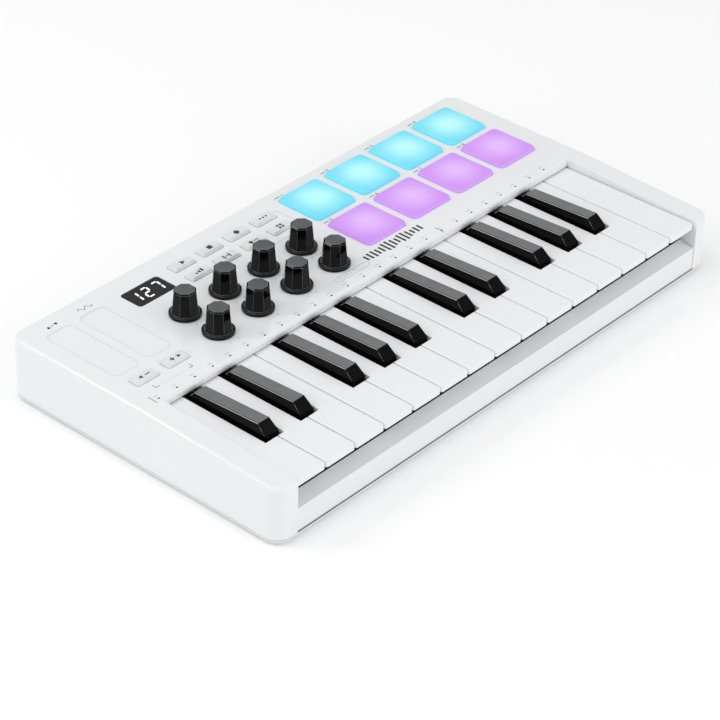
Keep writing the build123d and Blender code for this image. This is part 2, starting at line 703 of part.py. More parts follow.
# ---- knobs: flared skirt, eight-sided tapering grip, and the encoder shaft each is pushed onto ----
knob_bottom = panel_top + knob_lift
knob_top = knob_bottom + knob_height
bore_top = knob_top - knob_cap
for index, (x, y) in enumerate(knob_places):
    with BuildPart() as knob:
        with Locations((x, y, knob_bottom)):
            Cylinder(knob_radius, knob_rim, align=(Align.CENTER, Align.CENTER, Align.MIN))
        with Locations((x, y, knob_bottom + knob_rim)):
            Cone(knob_radius, knob_base_across / 2, knob_skirt - knob_rim,
                 align=(Align.CENTER, Align.CENTER, Align.MIN))
        with BuildSketch(Plane(origin=(x, y, knob_bottom + knob_rim))):
            RegularPolygon(knob_base_across / 2, 8, major_radius=False, rotation=22.5)
        with BuildSketch(Plane(origin=(x, y, knob_top))):
            RegularPolygon(knob_top_across / 2, 8, major_radius=False, rotation=22.5)
        loft(ruled=True)
        chamfer(knob.faces().sort_by(Axis.Z)[-1].edges(), knob_fillet)
        posts([(x, y)], bushing_radius + knob_recess, knob_bottom,
              panel_top + bushing_rise + knob_recess, Mode.SUBTRACT)
        posts([(x, y)], shaft_radius + grip_clearance, knob_bottom, bore_top, Mode.SUBTRACT)
        posts([(x, y)], shaft_radius, panel_board_top + encoder_floor + rest_gap, bore_top - rest_gap)
    finish(knob.part, f"knob_{index // knob_columns + 1}_{index % knob_columns + 1}")

# ---- pads: soft translucent blocks with a retaining flange under the panel ----
for index, (x, y) in enumerate(pad_places):
    with BuildPart() as pad:
        with BuildSketch(Plane.XY.offset(flange_top - flange_thick)):
            with Locations((x, y)):
                RectangleRounded(pad_size, pad_size, pad_corner)
        extrude(amount=panel_top + pad_proud - flange_top + flange_thick)
        fillet(pad.faces().sort_by(Axis.Z)[-1].edges(), pad_edge)
        with BuildSketch(Plane.XY.offset(flange_top - flange_thick)):
            with Locations((x, y)):
                RectangleRounded(pad_size + 2 * (pad_clearance + pad_flange_width),
                                 pad_size + 2 * (pad_clearance + pad_flange_width),
                                 pad_corner + pad_flange_width)
        extrude(amount=flange_thick)
        with BuildSketch(Plane.XY.offset(pad_bottom)):
            with Locations((x, y)):
                RectangleRounded(pad_size - 2 * pad_skirt_inset, pad_size - 2 * pad_skirt_inset,
                                 pad_corner)
        extrude(amount=flange_top - flange_thick - pad_bottom)
        box_between(x - pad_size / 2 + pad_hollow, x + pad_size / 2 - pad_hollow,
                    y - pad_size / 2 + pad_hollow, y + pad_size / 2 - pad_hollow,
                    pad_bottom, panel_top - pad_roof, Mode.SUBTRACT)
    finish(pad.part, f"pad_{index // pad_columns + 1}_{index % pad_columns + 1}")

# ---- buttons: a drafted cap, a retaining flange and a stem over its switch ----
button_names = [f"button_{row}_{column}" for row in (1, 2) for column in range(1, 5)]
button_names += ["button_octave_down", "button_octave_up"]
switch_top = panel_board_top + switch_height + switch_plunger
for name, (x, y) in zip(button_names, button_places):
    with BuildPart() as button:
        with BuildSketch(Plane.XY.offset(panel_top)):
            with Locations((x, y)):
                RectangleRounded(*button_size, button_corner)
        extrude(amount=flange_top - flange_thick - panel_top)
        with BuildSketch(Plane.XY.offset(panel_top)):
            with Locations((x, y)):
                RectangleRounded(*button_size, button_corner)
        extrude(amount=button_proud, taper=button_taper)
        with BuildSketch(Plane.XY.offset(flange_top - flange_thick)):
            with Locations((x, y)):
                Rectangle(button_size[0] + 2 * (button_clearance + flange_side),
                          button_size[1] + 2 * (button_clearance + flange_side))
        extrude(amount=flange_thick)
        posts([(x, y)], stem_radius, switch_top + button_travel + rest_gap, flange_top - flange_thick)
    finish(button.part, name)
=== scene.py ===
import json
import math
import bmesh
import bpy
from mathutils import Matrix, Vector


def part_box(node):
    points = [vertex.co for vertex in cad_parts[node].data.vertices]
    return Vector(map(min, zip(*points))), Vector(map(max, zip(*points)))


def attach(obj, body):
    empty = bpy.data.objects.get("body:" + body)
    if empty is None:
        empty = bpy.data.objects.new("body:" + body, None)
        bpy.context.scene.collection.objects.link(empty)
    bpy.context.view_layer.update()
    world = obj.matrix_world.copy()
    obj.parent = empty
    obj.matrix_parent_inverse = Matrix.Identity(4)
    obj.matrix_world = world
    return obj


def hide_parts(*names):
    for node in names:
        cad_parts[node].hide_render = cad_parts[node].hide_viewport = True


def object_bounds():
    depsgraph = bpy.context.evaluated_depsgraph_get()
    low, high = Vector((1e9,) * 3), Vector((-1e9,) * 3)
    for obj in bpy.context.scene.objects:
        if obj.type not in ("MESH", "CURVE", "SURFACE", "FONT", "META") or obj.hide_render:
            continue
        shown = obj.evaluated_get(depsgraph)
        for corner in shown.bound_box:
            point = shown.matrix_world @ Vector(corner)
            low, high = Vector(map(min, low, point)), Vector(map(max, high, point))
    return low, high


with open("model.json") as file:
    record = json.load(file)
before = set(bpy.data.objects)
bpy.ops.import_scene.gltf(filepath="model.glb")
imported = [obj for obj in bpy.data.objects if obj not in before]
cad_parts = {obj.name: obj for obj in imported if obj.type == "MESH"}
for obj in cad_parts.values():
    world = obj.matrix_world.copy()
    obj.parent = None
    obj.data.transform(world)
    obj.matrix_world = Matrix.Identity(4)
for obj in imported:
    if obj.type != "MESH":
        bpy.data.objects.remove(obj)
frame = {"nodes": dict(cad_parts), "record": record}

# A 25-key mini controller keyboard: glossy white case, two rows of knobs, lit pads.
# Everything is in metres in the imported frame: X along the keys, Y to the rear, Z up.

mm = 0.001
nodes = frame["nodes"]
boxLow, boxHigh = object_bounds()
scene = bpy.context.scene
scene.view_settings.view_transform = "Standard"
print("frame loaded:", len(nodes), "nodes")


# small tools
def feed(tree, node, inputs):
    for key, value in inputs.items():
        if isinstance(value, bpy.types.NodeSocket):
            tree.links.new(value, node.inputs[key])
        else:
            node.inputs[key].default_value = value


def addNode(tree, kind, inputs=None, **settings):
    node = tree.nodes.new(kind)
    for key, value in settings.items():
        setattr(node, key, value)
    feed(tree, node, inputs or {})
    return node


def startMaterial(name):
    material = bpy.data.materials.new(name)
    material.use_nodes = True
    tree = material.node_tree
    tree.nodes.clear()
    shader = addNode(tree, "ShaderNodeBsdfPrincipled")
    addNode(tree, "ShaderNodeOutputMaterial", {"Surface": shader.outputs["BSDF"]})
    return material, tree, shader


def noiseOf(tree, place, scale, detail=2.0, roughness=0.5):
    return addNode(tree, "ShaderNodeTexNoise", {"Vector": place, "Scale": scale, "Detail": detail,
                                                "Roughness": roughness}).outputs["Fac"]


def rangeOf(tree, value, fromLow, fromHigh, toLow, toHigh):
    return addNode(tree, "ShaderNodeMapRange", {"Value": value, "From Min": fromLow, "From Max": fromHigh,
                                                "To Min": toLow, "To Max": toHigh}).outputs["Result"]


def mixColors(tree, factor, first, second):
    mix = addNode(tree, "ShaderNodeMix", data_type="RGBA")
    for socket, value in zip((mix.inputs[0], mix.inputs[6], mix.inputs[7]), (factor, first, second)):
        if isinstance(value, bpy.types.NodeSocket):
            tree.links.new(value, socket)
        else:
            socket.default_value = (*value, 1.0)
    return mix.outputs[2]


def mathOf(tree, operation, first, second=0.0):
    return addNode(tree, "ShaderNodeMath", {0: first, 1: second}, operation=operation).outputs[0]


def objectPlace(tree):
    return addNode(tree, "ShaderNodeTexCoord").outputs["Object"]


def bumpOf(tree, height, depth, strength, under=None):
    inputs = {"Height": height, "Distance": depth, "Strength": strength}
    if under:
        inputs["Normal"] = under
    return addNode(tree, "ShaderNodeBump", inputs).outputs["Normal"]


def wearNormal(tree, place, layers):
    # stacks bump layers, each (noise scale, depth in metres, strength)
    normal = None
    for scale, depth, strength in layers:
        normal = bumpOf(tree, noiseOf(tree, place, scale, 3.0), depth, strength, normal)
    return normal


def newObject(name, data):
    piece = bpy.data.objects.new(name, data)
    scene.collection.objects.link(piece)
    return piece


def bakeModifiers(piece):
    bpy.context.view_layer.update()
    shaped = piece.evaluated_get(bpy.context.evaluated_depsgraph_get())
    result = bpy.data.meshes.new_from_object(shaped)
    piece.modifiers.clear()
    piece.data = result
    result.name = piece.name
    return piece


def seat(piece, body, slotName=None, *replaced):
    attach(piece, body)
    if replaced:
        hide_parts(*replaced)
    return piece


def addPrism(shape, outline, low, high):
    # a flat plate from a counter-clockwise outline
    lower = [shape.verts.new((x, y, low)) for x, y in outline]
    upper = [shape.verts.new((x, y, high)) for x, y in outline]
    shape.faces.new(lower[::-1])
    shape.faces.new(upper)
    for one, two, three, four in zip(lower, lower[1:] + lower[:1], upper[1:] + upper[:1], upper):
        shape.faces.new((one, two, three, four))


def roundedOutline(middle, halfSize, corner, inset, height, steps=7):
    # counter-clockwise points of a rounded rectangle, drawn in by inset
    radius = max(corner - inset, 0.05 * mm)
    reach = (halfSize[0] - inset - radius, halfSize[1] - inset - radius)
    points = []
    for quarter, (sideX, sideY) in enumerate(((1, 1), (-1, 1), (-1, -1), (1, -1))):
        for step in range(steps + 1):
            angle = math.pi / 2 * (quarter + step / steps)
            points.append((middle.x + sideX * reach[0] + radius * math.cos(angle),
                           middle.y + sideY * reach[1] + radius * math.sin(angle), height))
    return points


def roundedEdge(radius, shoulder, steps):
    # profile of a rounded top edge: (inset, height) from the side to the top
    return [(radius * (1 - math.cos(math.pi / 2 * step / steps)),
             shoulder + radius * math.sin(math.pi / 2 * step / steps)) for step in range(steps + 1)]


def addStack(shape, middle, halfSize, corner, profile, steps=7):
    # closed solid through a stack of rounded outlines, from its underside up
    rings = [[shape.verts.new(point) for point in
              roundedOutline(middle, halfSize, corner, inset, height, steps)] for inset, height in profile]
    shape.faces.new(rings[0][::-1])
    shape.faces.new(rings[-1])
    for under, over in zip(rings, rings[1:]):
        for index in range(len(under)):
            following = (index + 1) % len(under)
            shape.faces.new((under[index], under[following], over[following], over[index]))


def pieceFrom(name, shape, material, sharpAngle=35.0):
    mesh = bpy.data.meshes.new(name)
    shape.normal_update()
    shape.to_mesh(mesh)
    shape.free()
    mesh.materials.append(material)
    mesh.shade_smooth()
    mesh.set_sharp_from_angle(angle=math.radians(sharpAngle))
    return newObject(name, mesh)


def stackedPiece(name, stacks, material, sharpAngle=35.0):
    shape = bmesh.new()
    for middle, halfSize, corner, profile in stacks:
        addStack(shape, middle, halfSize, corner, profile)
    return pieceFrom(name, shape, material, sharpAngle)


# geometry-node trees
def startTree(name, inputs):
    # inputs: name -> socket kind; the tree also takes and gives geometry
    tree = bpy.data.node_groups.new(name, "GeometryNodeTree")
    tree.interface.new_socket("Geometry", in_out="INPUT", socket_type="NodeSocketGeometry")
    for label, kind in inputs.items():
        tree.interface.new_socket(label, in_out="INPUT", socket_type="NodeSocket" + kind)
    tree.interface.new_socket("Geometry", in_out="OUTPUT", socket_type="NodeSocketGeometry")
    given = tree.nodes.new("NodeGroupInput").outputs
    return tree, given


def endTree(tree, geometry, material):
    realized = addNode(tree, "GeometryNodeRealizeInstances", {"Geometry": geometry})
    finished = addNode(tree, "GeometryNodeSetMaterial", {"Geometry": realized.outputs[0],
                                                         "Material": material})
    addNode(tree, "NodeGroupOutput", {"Geometry": finished.outputs[0]})


def growPiece(name, tree, values, seed=None):
    piece = newObject(name, seed or bpy.data.meshes.new(name))
    modifier = piece.modifiers.new("build", "NODES")
    modifier.node_group = tree
    for socket in tree.interface.items_tree:
        if socket.in_out == "INPUT" and socket.name in values:
            modifier[socket.identifier] = values[socket.name]
    bakeModifiers(piece)
    piece.data.materials.clear()
    piece.data.materials.append(values["finish"])      # one slot, whatever the tree's parts left
    piece.data.polygons.foreach_set("material_index", [0] * len(piece.data.polygons))
    return piece


def softenEdges(piece, width, segments, angle, sharpAngle=35.0, edgeMaterial=None):
    bevel = piece.modifiers.new("softEdges", "BEVEL")
    if edgeMaterial:
        piece.data.materials.append(edgeMaterial)
        bevel.material = len(piece.data.materials) - 1
    bevel.width = width
    bevel.segments = segments
    bevel.limit_method = "ANGLE"
    bevel.angle_limit = math.radians(angle)
    bakeModifiers(piece)
    piece.data.shade_smooth()
    piece.data.set_sharp_from_angle(angle=math.radians(sharpAngle))
    weighted = piece.modifiers.new("evenNormals", "WEIGHTED_NORMAL")
    weighted.keep_sharp = True
    return bakeModifiers(piece)


# finishes
def mouldedPlastic(name, finish):
    material, tree, shader = startMaterial(name)
    place = objectPlace(tree)
    cloud = noiseOf(tree, place, finish["cloudScale"], 4.0)
    smudge = noiseOf(tree, place, finish["smudgeScale"], 6.0, 0.6)
    feed(tree, shader, {
        "Base Color": mixColors(tree, rangeOf(tree, cloud, 0.3, 0.7, 0, 1), finish["color"], finish["tint"]),
        "Roughness": rangeOf(tree, smudge, 0.3, 0.75, *finish["roughness"]),
        "Normal": wearNormal(tree, place, finish["bumps"]),
        "Specular IOR Level": finish.get("specular", 0.5)})
    return material


def twoFinishPlastic(name, finish):
    # upward faces are satin with a fine grain, and their paler colour is a painted reflection; every other
    # face is polished
    material, tree, shader = startMaterial(name)
    coords = addNode(tree, "ShaderNodeTexCoord")
    place = coords.outputs["Object"]
    facing = addNode(tree, "ShaderNodeSeparateXYZ", {"Vector": coords.outputs["Normal"]}).outputs
    satinAndSheen = rangeOf(tree, facing["Z"], finish["satinFrom"], finish["satinFull"], 0, 1)
    cloud = noiseOf(tree, place, 160.0, 4.0)
    # paler colour on upward faces: painted reflection (the same mask also sets the real satin roughness)
    top = mixColors(tree, rangeOf(tree, cloud, 0.3, 0.7, 0, 1), finish["paintedSheenColor"], finish["paintedSheenTint"])
    turned = mixColors(tree, satinAndSheen, finish["polishColor"], top)
    if "rimHighlightColor" in finish:
        # a painted highlight line on the rounded edge between a long side and the top
        sideways = mathOf(tree, "ABSOLUTE", facing["X"])
        rising = rangeOf(tree, sideways, 0.62, 0.74, 0, 1)
        falling = rangeOf(tree, sideways, 0.93, 0.97, 1, 0)
        level = rangeOf(tree, mathOf(tree, "ABSOLUTE", facing["Y"]), 0.1, 0.2, 1, 0)
        rim = mathOf(tree, "MULTIPLY", mathOf(tree, "MULTIPLY", rising, falling), level)
        turned = mixColors(tree, rim, turned, finish["rimHighlightColor"])
    smudge = noiseOf(tree, place, 90.0, 5.0)
    rough = rangeOf(tree, satinAndSheen, 0, 1, finish["polishRoughness"], finish["satinRoughness"])
    wear = rangeOf(tree, smudge, 0.3, 0.7, -0.03, 0.04)
    grain = noiseOf(tree, place, 5200.0, 2.0)
    height = mathOf(tree, "MULTIPLY", grain, rangeOf(tree, satinAndSheen, 0, 1, 0.12, 1.0))
    feed(tree, shader, {"Base Color": turned, "Roughness": mathOf(tree, "ADD", rough, wear),
                        "Normal": bumpOf(tree, height, 0.00004, 0.5),
                        "Specular IOR Level": finish["specular"]})
    return material


caseFinish = {"color": (0.86, 0.87, 0.885), "tint": (0.84, 0.855, 0.875), "cloudScale": 14.0,
              "smudgeScale": 30.0, "roughness": (0.08, 0.15),
              "bumps": [(260.0, 0.00003, 0.25), (2600.0, 0.000006, 0.2)]}
keyFinish = {"color": (0.88, 0.885, 0.895), "tint": (0.865, 0.872, 0.884), "cloudScale": 35.0,
             "smudgeScale": 60.0, "roughness": (0.24, 0.34),
             "bumps": [(400.0, 0.00002, 0.1), (4200.0, 0.000008, 0.2)]}
baseFinish = {"color": (0.8, 0.81, 0.825), "tint": (0.77, 0.78, 0.8), "cloudScale": 20.0,
              "smudgeScale": 40.0, "roughness": (0.42, 0.58),
              "bumps": [(1800.0, 0.00006, 0.45), (5200.0, 0.00003, 0.3)]}
buttonFinish = {"color": (0.79, 0.8, 0.815), "tint": (0.74, 0.75, 0.77), "cloudScale": 130.0,
                "smudgeScale": 220.0, "roughness": (0.38, 0.52),
                "bumps": [(3600.0, 0.00003, 0.4)]}
bedFinish = {"color": (0.012, 0.012, 0.013), "tint": (0.02, 0.02, 0.021), "cloudScale": 60.0,
             "smudgeScale": 90.0, "roughness": (0.5, 0.65), "bumps": [(2600.0, 0.00005, 0.5)]}
contactFinish = {"color": (0.5, 0.5, 0.48), "tint": (0.42, 0.42, 0.4), "cloudScale": 80.0,
                 "smudgeScale": 120.0, "roughness": (0.55, 0.7), "bumps": [(3000.0, 0.00004, 0.4)]}
footFinish = {"color": (0.018, 0.018, 0.019), "tint": (0.035, 0.035, 0.036), "cloudScale": 180.0,
              "smudgeScale": 260.0, "roughness": (0.7, 0.9),
              "bumps": [(900.0, 0.00012, 0.5), (4000.0, 0.00004, 0.6)]}
# dark grey for the parting gap: painted shade
seamShadeFinish = {"color": (0.16, 0.16, 0.165), "tint": (0.12, 0.12, 0.125), "cloudScale": 90.0,
              "smudgeScale": 120.0, "roughness": (0.5, 0.7), "bumps": [(2600.0, 0.00003, 0.3)]}
windowFinish = {"color": (0.01, 0.01, 0.012), "tint": (0.016, 0.016, 0.018), "cloudScale": 60.0,
                "smudgeScale": 140.0, "roughness": (0.06, 0.12), "bumps": [(300.0, 0.00001, 0.1)],
                "specular": 0.2}
# black keys: the grey top is a painted reflection on satin black, the rim colour a painted highlight line
blackKeyFinish = {"satinFrom": 0.93, "satinFull": 0.985, "paintedSheenColor": (0.19, 0.195, 0.205),
                  "paintedSheenTint": (0.165, 0.169, 0.178), "polishColor": (0.002, 0.002, 0.0025),
                  "rimHighlightColor": (0.42, 0.42, 0.43),
                  "satinRoughness": 0.42, "polishRoughness": 0.1, "specular": 0.08}
# knobs: the grey top is a painted reflection on satin black
knobFinish = {"satinFrom": 0.9, "satinFull": 0.985, "paintedSheenColor": (0.12, 0.122, 0.13),
              "paintedSheenTint": (0.085, 0.088, 0.094), "polishColor": (0.002, 0.002, 0.0025),
              "satinRoughness": 0.36, "polishRoughness": 0.08, "specular": 0.16}
# knob grip edges: a pale painted highlight on the bevels
edgeHighlightFinish = {"satinFrom": -0.6, "satinFull": 0.4, "paintedSheenColor": (0.42, 0.425, 0.44),
                "paintedSheenTint": (0.3, 0.303, 0.31), "polishColor": (0.2, 0.2, 0.205),
                "satinRoughness": 0.3, "polishRoughness": 0.2, "specular": 0.3}

caseMaterial = mouldedPlastic("glossWhite", caseFinish)
keyMaterial = mouldedPlastic("ivoryWhite", keyFinish)
baseMaterial = mouldedPlastic("grainedWhite", baseFinish)
buttonMaterial = mouldedPlastic("greySilicone", buttonFinish)
bedMaterial = mouldedPlastic("darkBed", bedFinish)
contactMaterial = mouldedPlastic("contactRubber", contactFinish)
footMaterial = mouldedPlastic("footRubber", footFinish)
seamShadeMaterial = mouldedPlastic("seamShade", seamShadeFinish)
windowMaterial = mouldedPlastic("smokedWindow", windowFinish)
blackKeyMaterial = twoFinishPlastic("pianoBlack", blackKeyFinish)
knobMaterial = twoFinishPlastic("knobBlack", knobFinish)
edgeHighlightMaterial = twoFinishPlastic("paintedEdgeHighlights", edgeHighlightFinish)


def inkFinish(name, color, roughness):
    # screen-printed ink: slightly uneven cover and a dry edge
    material, tree, shader = startMaterial(name)
    place = objectPlace(tree)
    cover = rangeOf(tree, noiseOf(tree, place, 3000.0, 3.0), 0.35, 0.7, 0, 1)
    light = tuple(channel * 1.35 + 0.01 for channel in color)
    feed(tree, shader, {"Base Color": mixColors(tree, cover, color, light),
                        "Roughness": rangeOf(tree, cover, 0, 1, roughness, roughness + 0.15)})
    return material


blackInk = inkFinish("blackInk", (0.02, 0.02, 0.022), 0.4)
greyInk = inkFinish("greyInk", (0.42, 0.43, 0.45), 0.4)
# pale grey for the rings round the touch strips: painted shade
touchShadeInk = inkFinish("touchShadeInk", (0.56, 0.565, 0.575), 0.4)
print("plastic, rubber and ink finishes made")


def metalFinish(name, color, tint, stretch):
    # turned or drawn metal: noise drawn out along one axis
    material, tree, shader = startMaterial(name)
    place = objectPlace(tree)
    drawn = addNode(tree, "ShaderNodeMapping", {"Vector": place, "Scale": stretch}).outputs["Vector"]
    lines = noiseOf(tree, drawn, 900.0, 4.0)
    feed(tree, shader, {"Base Color": mixColors(tree, lines, color, tint), "Metallic": 1.0,
                        "Roughness": rangeOf(tree, lines, 0.3, 0.7, 0.22, 0.42),
                        "Normal": bumpOf(tree, lines, 0.00002, 0.3)})
    return material


screwMaterial = metalFinish("zincSteel", (0.55, 0.55, 0.57), (0.4, 0.4, 0.42), (1.0, 6.0, 1.0))
shellMaterial = metalFinish("drawnShell", (0.5, 0.5, 0.52), (0.32, 0.32, 0.34), (1.0, 0.15, 1.0))


def boardFinish(name):
    # solder mask with copper tracks showing through as a lighter green
    material, tree, shader = startMaterial(name)
    place = objectPlace(tree)
    tracks = addNode(tree, "ShaderNodeTexBrick", {
        "Vector": place, "Scale": 110.0, "Mortar Size": 0.04, "Color1": (0.015, 0.11, 0.05, 1),
        "Color2": (0.02, 0.13, 0.06, 1), "Mortar": (0.05, 0.24, 0.1, 1)})
    cloud = noiseOf(tree, place, 400.0, 4.0)
    shade = mixColors(tree, rangeOf(tree, cloud, 0.3, 0.7, 0.0, 0.35), (0.01, 0.08, 0.04),
                      (0.03, 0.16, 0.07))
    feed(tree, shader, {
        "Base Color": mixColors(tree, tracks.outputs["Fac"], shade, tracks.outputs["Color"]),
        "Roughness": rangeOf(tree, cloud, 0.3, 0.7, 0.25, 0.4),
        "Normal": bumpOf(tree, tracks.outputs["Fac"], 0.00003, 0.5)})
    return material


boardMaterial = boardFinish("solderMask")

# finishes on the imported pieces
dressing = {"bottom_case": baseMaterial, "key_bed": bedMaterial, "contact_strips": contactMaterial,
            "circuit_boards": boardMaterial, "board_components": shellMaterial,
            "case_screws": screwMaterial, "rubber_feet": footMaterial, "top_case": caseMaterial,
            "display_window": windowMaterial}
families = {"white_key": keyMaterial, "black_key": blackKeyMaterial, "knob": knobMaterial,
            "button": buttonMaterial}
for nodeName in nodes:
    for family, material in families.items():
        if nodeName.startswith(family):
            dressing[nodeName] = material
for nodeName, material in dressing.items():
    for materialSlot in nodes[nodeName].material_slots:
        materialSlot.material = material
print("packed pieces dressed:", len(dressing))

# lit pads
padFinish = {
    "cyan": {"centre": (0.37, 0.72, 0.75), "edge": (0.13, 0.53, 0.66), "side": (0.16, 0.6, 0.7)},
    "violet": {"centre": (0.57, 0.355, 0.74), "edge": (0.45, 0.21, 0.64), "side": (0.5, 0.29, 0.7)},
    "glow": 0.45, "spread": 18 * mm}


def litPad(name, tones, first, second):
    # light from one lamp under each pad: the pattern repeats at the pads' own pitch
    material, tree, shader = startMaterial(name)
    lowFirst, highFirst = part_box(first)
    centre = (lowFirst + highFirst) / 2
    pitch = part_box(second)[0].x - lowFirst.x
    coords = addNode(tree, "ShaderNodeTexCoord")
    place = coords.outputs["Object"]
    axes = addNode(tree, "ShaderNodeSeparateXYZ", {"Vector": place})
    shifted = mathOf(tree, "ADD", axes.outputs["X"], pitch * 20.5 - centre.x)
    across = mathOf(tree, "SUBTRACT", mathOf(tree, "MODULO", shifted, pitch), pitch / 2)
    along = mathOf(tree, "SUBTRACT", axes.outputs["Y"], centre.y)
    reach = mathOf(tree, "SQRT", mathOf(tree, "ADD", mathOf(tree, "MULTIPLY", across, across),
                                        mathOf(tree, "MULTIPLY", along, along)))
    fall = addNode(tree, "ShaderNodeMapRange", {"Value": reach, "From Min": 0.0,
                                                "From Max": padFinish["spread"]},
                   interpolation_type="SMOOTHSTEP").outputs["Result"]
    uneven = rangeOf(tree, noiseOf(tree, place, 120.0, 3.0), 0.3, 0.7, -0.05, 0.05)
    glow = mixColors(tree, mathOf(tree, "ADD", fall, uneven), tones["centre"], tones["edge"])
    up = addNode(tree, "ShaderNodeSeparateXYZ", {"Vector": coords.outputs["Normal"]}).outputs["Z"]
    color = mixColors(tree, rangeOf(tree, up, 0.1, 0.6, 0, 1), tones["side"], glow)
    grain = noiseOf(tree, place, 2600.0, 2.0)
    feed(tree, shader, {"Base Color": color, "Emission Color": color, "Emission Strength": padFinish["glow"],
                        "Roughness": rangeOf(tree, grain, 0.3, 0.7, 0.42, 0.55),
                        "Normal": bumpOf(tree, grain, 0.00003, 0.4)})
    return material


padMaterials = {1: litPad("cyanPad", padFinish["cyan"], "pad_1_1", "pad_1_2"),
                2: litPad("violetPad", padFinish["violet"], "pad_2_1", "pad_2_2")}
padShape = {"flange": 1.7 * mm, "skirtInset": 1.0 * mm, "corner": 2.5 * mm, "edge": 1.0 * mm,
            "crown": 0.3 * mm, "flangeHigh": 4.99 * mm, "flangeThick": 1.4 * mm, "steps": 8,
            "pocketInset": 4 * mm, "pocketHigh": 2 * mm,       # room for the lamp below
            "flatMiddle": 1 * mm, "crownShares": (0.08, 0.2, 0.38, 0.62, 1.0)}
for row, column in [(row, column) for row in (1, 2) for column in (1, 2, 3, 4)]:
    nodeName = f"pad_{row}_{column}"
    low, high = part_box(nodeName)
    middle = (low + high) / 2
    halfSize = ((high.x - low.x) / 2 - padShape["flange"], (high.y - low.y) / 2 - padShape["flange"])
    flangeTop = high.z - padShape["flangeHigh"]
    flangeLow = flangeTop - padShape["flangeThick"]
    shoulder = high.z - padShape["crown"] - padShape["edge"]
    profile = [(padShape["pocketInset"], low.z + padShape["pocketHigh"]),
               (padShape["pocketInset"], low.z),
               (padShape["skirtInset"], low.z), (padShape["skirtInset"], flangeLow),
               (-padShape["flange"], flangeLow), (-padShape["flange"], flangeTop), (0, flangeTop)]
    profile += roundedEdge(padShape["edge"], shoulder, padShape["steps"])
    inner = min(halfSize) - padShape["edge"] - padShape["flatMiddle"]
    for share in padShape["crownShares"]:
        profile.append((padShape["edge"] + share * inner,
                        high.z - padShape["crown"] * (1 - share) ** 2))
    pad = stackedPiece(f"padCap_{row}_{column}", [(middle, halfSize, padShape["corner"], profile)],
                       padMaterials[row])
    seat(pad, nodeName, "pad_cyan" if row == 1 else "pad_violet", nodeName)
print("pads shaped and lit")

# buttons
buttonShape = {"flange": 1.05 * mm, "corner": 1.2 * mm, "proud": 1.5 * mm, "flangeDrop": 2.7 * mm,
               "flangeThick": 1.4 * mm, "upright": 0.4 * mm, "slope": 0.75 * mm, "edge": 0.3 * mm,
               "steps": 4, "stem": 1.6 * mm}
buttonTop = {}
for nodeName in [name for name in nodes if name.startswith("button")]:
    low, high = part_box(nodeName)
    middle = (low + high) / 2
    halfSize = ((high.x - low.x) / 2 - buttonShape["flange"],
                (high.y - low.y) / 2 - buttonShape["flange"])
    panelZ = high.z - buttonShape["proud"]
    flangeTop = panelZ - buttonShape["flangeDrop"]
    flangeLow = flangeTop - buttonShape["flangeThick"]
    profile = [(-buttonShape["flange"], flangeLow), (-buttonShape["flange"], flangeTop), (0, flangeTop),
               (0, panelZ + buttonShape["upright"])]
    shoulder = high.z - buttonShape["edge"]
    profile += [(buttonShape["slope"] + inset, height)
                for inset, height in roundedEdge(buttonShape["edge"], shoulder, buttonShape["steps"])]
    button = stackedPiece("cap_" + nodeName, [
        (middle, halfSize, buttonShape["corner"], profile),
        (middle, (buttonShape["stem"], buttonShape["stem"]), buttonShape["stem"],
         [(0, low.z), (0, flangeLow)])], buttonMaterial)
    seat(button, nodeName, "button_grey", nodeName)
    buttonTop[nodeName] = Vector((middle.x, middle.y, high.z))
print("buttons shaped:", len(buttonTop))

# display window with a three-figure reading
windowShape = {"corner": 2.0 * mm, "chamfer": 0.25 * mm}
low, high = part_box("display_window")
windowMiddle = (low + high) / 2
halfSize = ((high.x - low.x) / 2, (high.y - low.y) / 2)
window = stackedPiece("displayWindow", [(windowMiddle, halfSize, windowShape["corner"], [
    (0, low.z), (0, high.z - windowShape["chamfer"]), (windowShape["chamfer"], high.z)])], windowMaterial)
seat(window, "case", "window_dark", "display_window")

figures = {"reading": "127", "pitch": 7.2 * mm, "high": 7.6 * mm, "wide": 3.7 * mm, "bar": 0.95 * mm,
           "slant": 0.12, "gap": 0.25 * mm, "shift": -0.6 * mm, "thick": 0.03 * mm, "glow": 0.5}
barsOf = {"1": "bc", "2": "abged", "7": "abc"}


def barOutline(letter, wide, high):
    # one bar of a seven-bar figure: its two ends, as shares of the width and the height
    ends = {"a": ((-1, 1), (1, 1)), "b": ((1, 1), (1, 0)), "c": ((1, 0), (1, -1)),
            "d": ((1, -1), (-1, -1)), "e": ((-1, -1), (-1, 0)), "g": ((-1, 0), (1, 0))}[letter]
    start, end = (Vector((x * wide / 2, y * high / 2)) for x, y in ends)
    along = (end - start).normalized()
    side = Vector((-along.y, along.x)) * figures["bar"] / 2
    start += along * figures["gap"]
    end -= along * figures["gap"]
    tip = along * figures["bar"] / 2
    return [start, start + tip - side, end - tip - side, end, end - tip + side, start + tip + side]


reading = bmesh.new()
for place, figure in enumerate(figures["reading"]):
    middleX = windowMiddle.x + figures["shift"] + (place - 1) * figures["pitch"]
    for letter in barsOf[figure]:
        outline = [(middleX + point.x + point.y * figures["slant"], windowMiddle.y + point.y)
                   for point in barOutline(letter, figures["wide"], figures["high"])]
        addPrism(reading, outline, high.z - figures["thick"], high.z + figures["thick"])
litMaterial = inkFinish("litFigures", (0.78, 0.8, 0.82), 0.3)
litTree = litMaterial.node_tree
feed(litTree, litTree.nodes["Principled BSDF"], {"Emission Color": (1, 1, 1, 1),
                                                 "Emission Strength": figures["glow"]})
seat(pieceFrom("displayFigures", reading, litMaterial), "case")
print("display made")

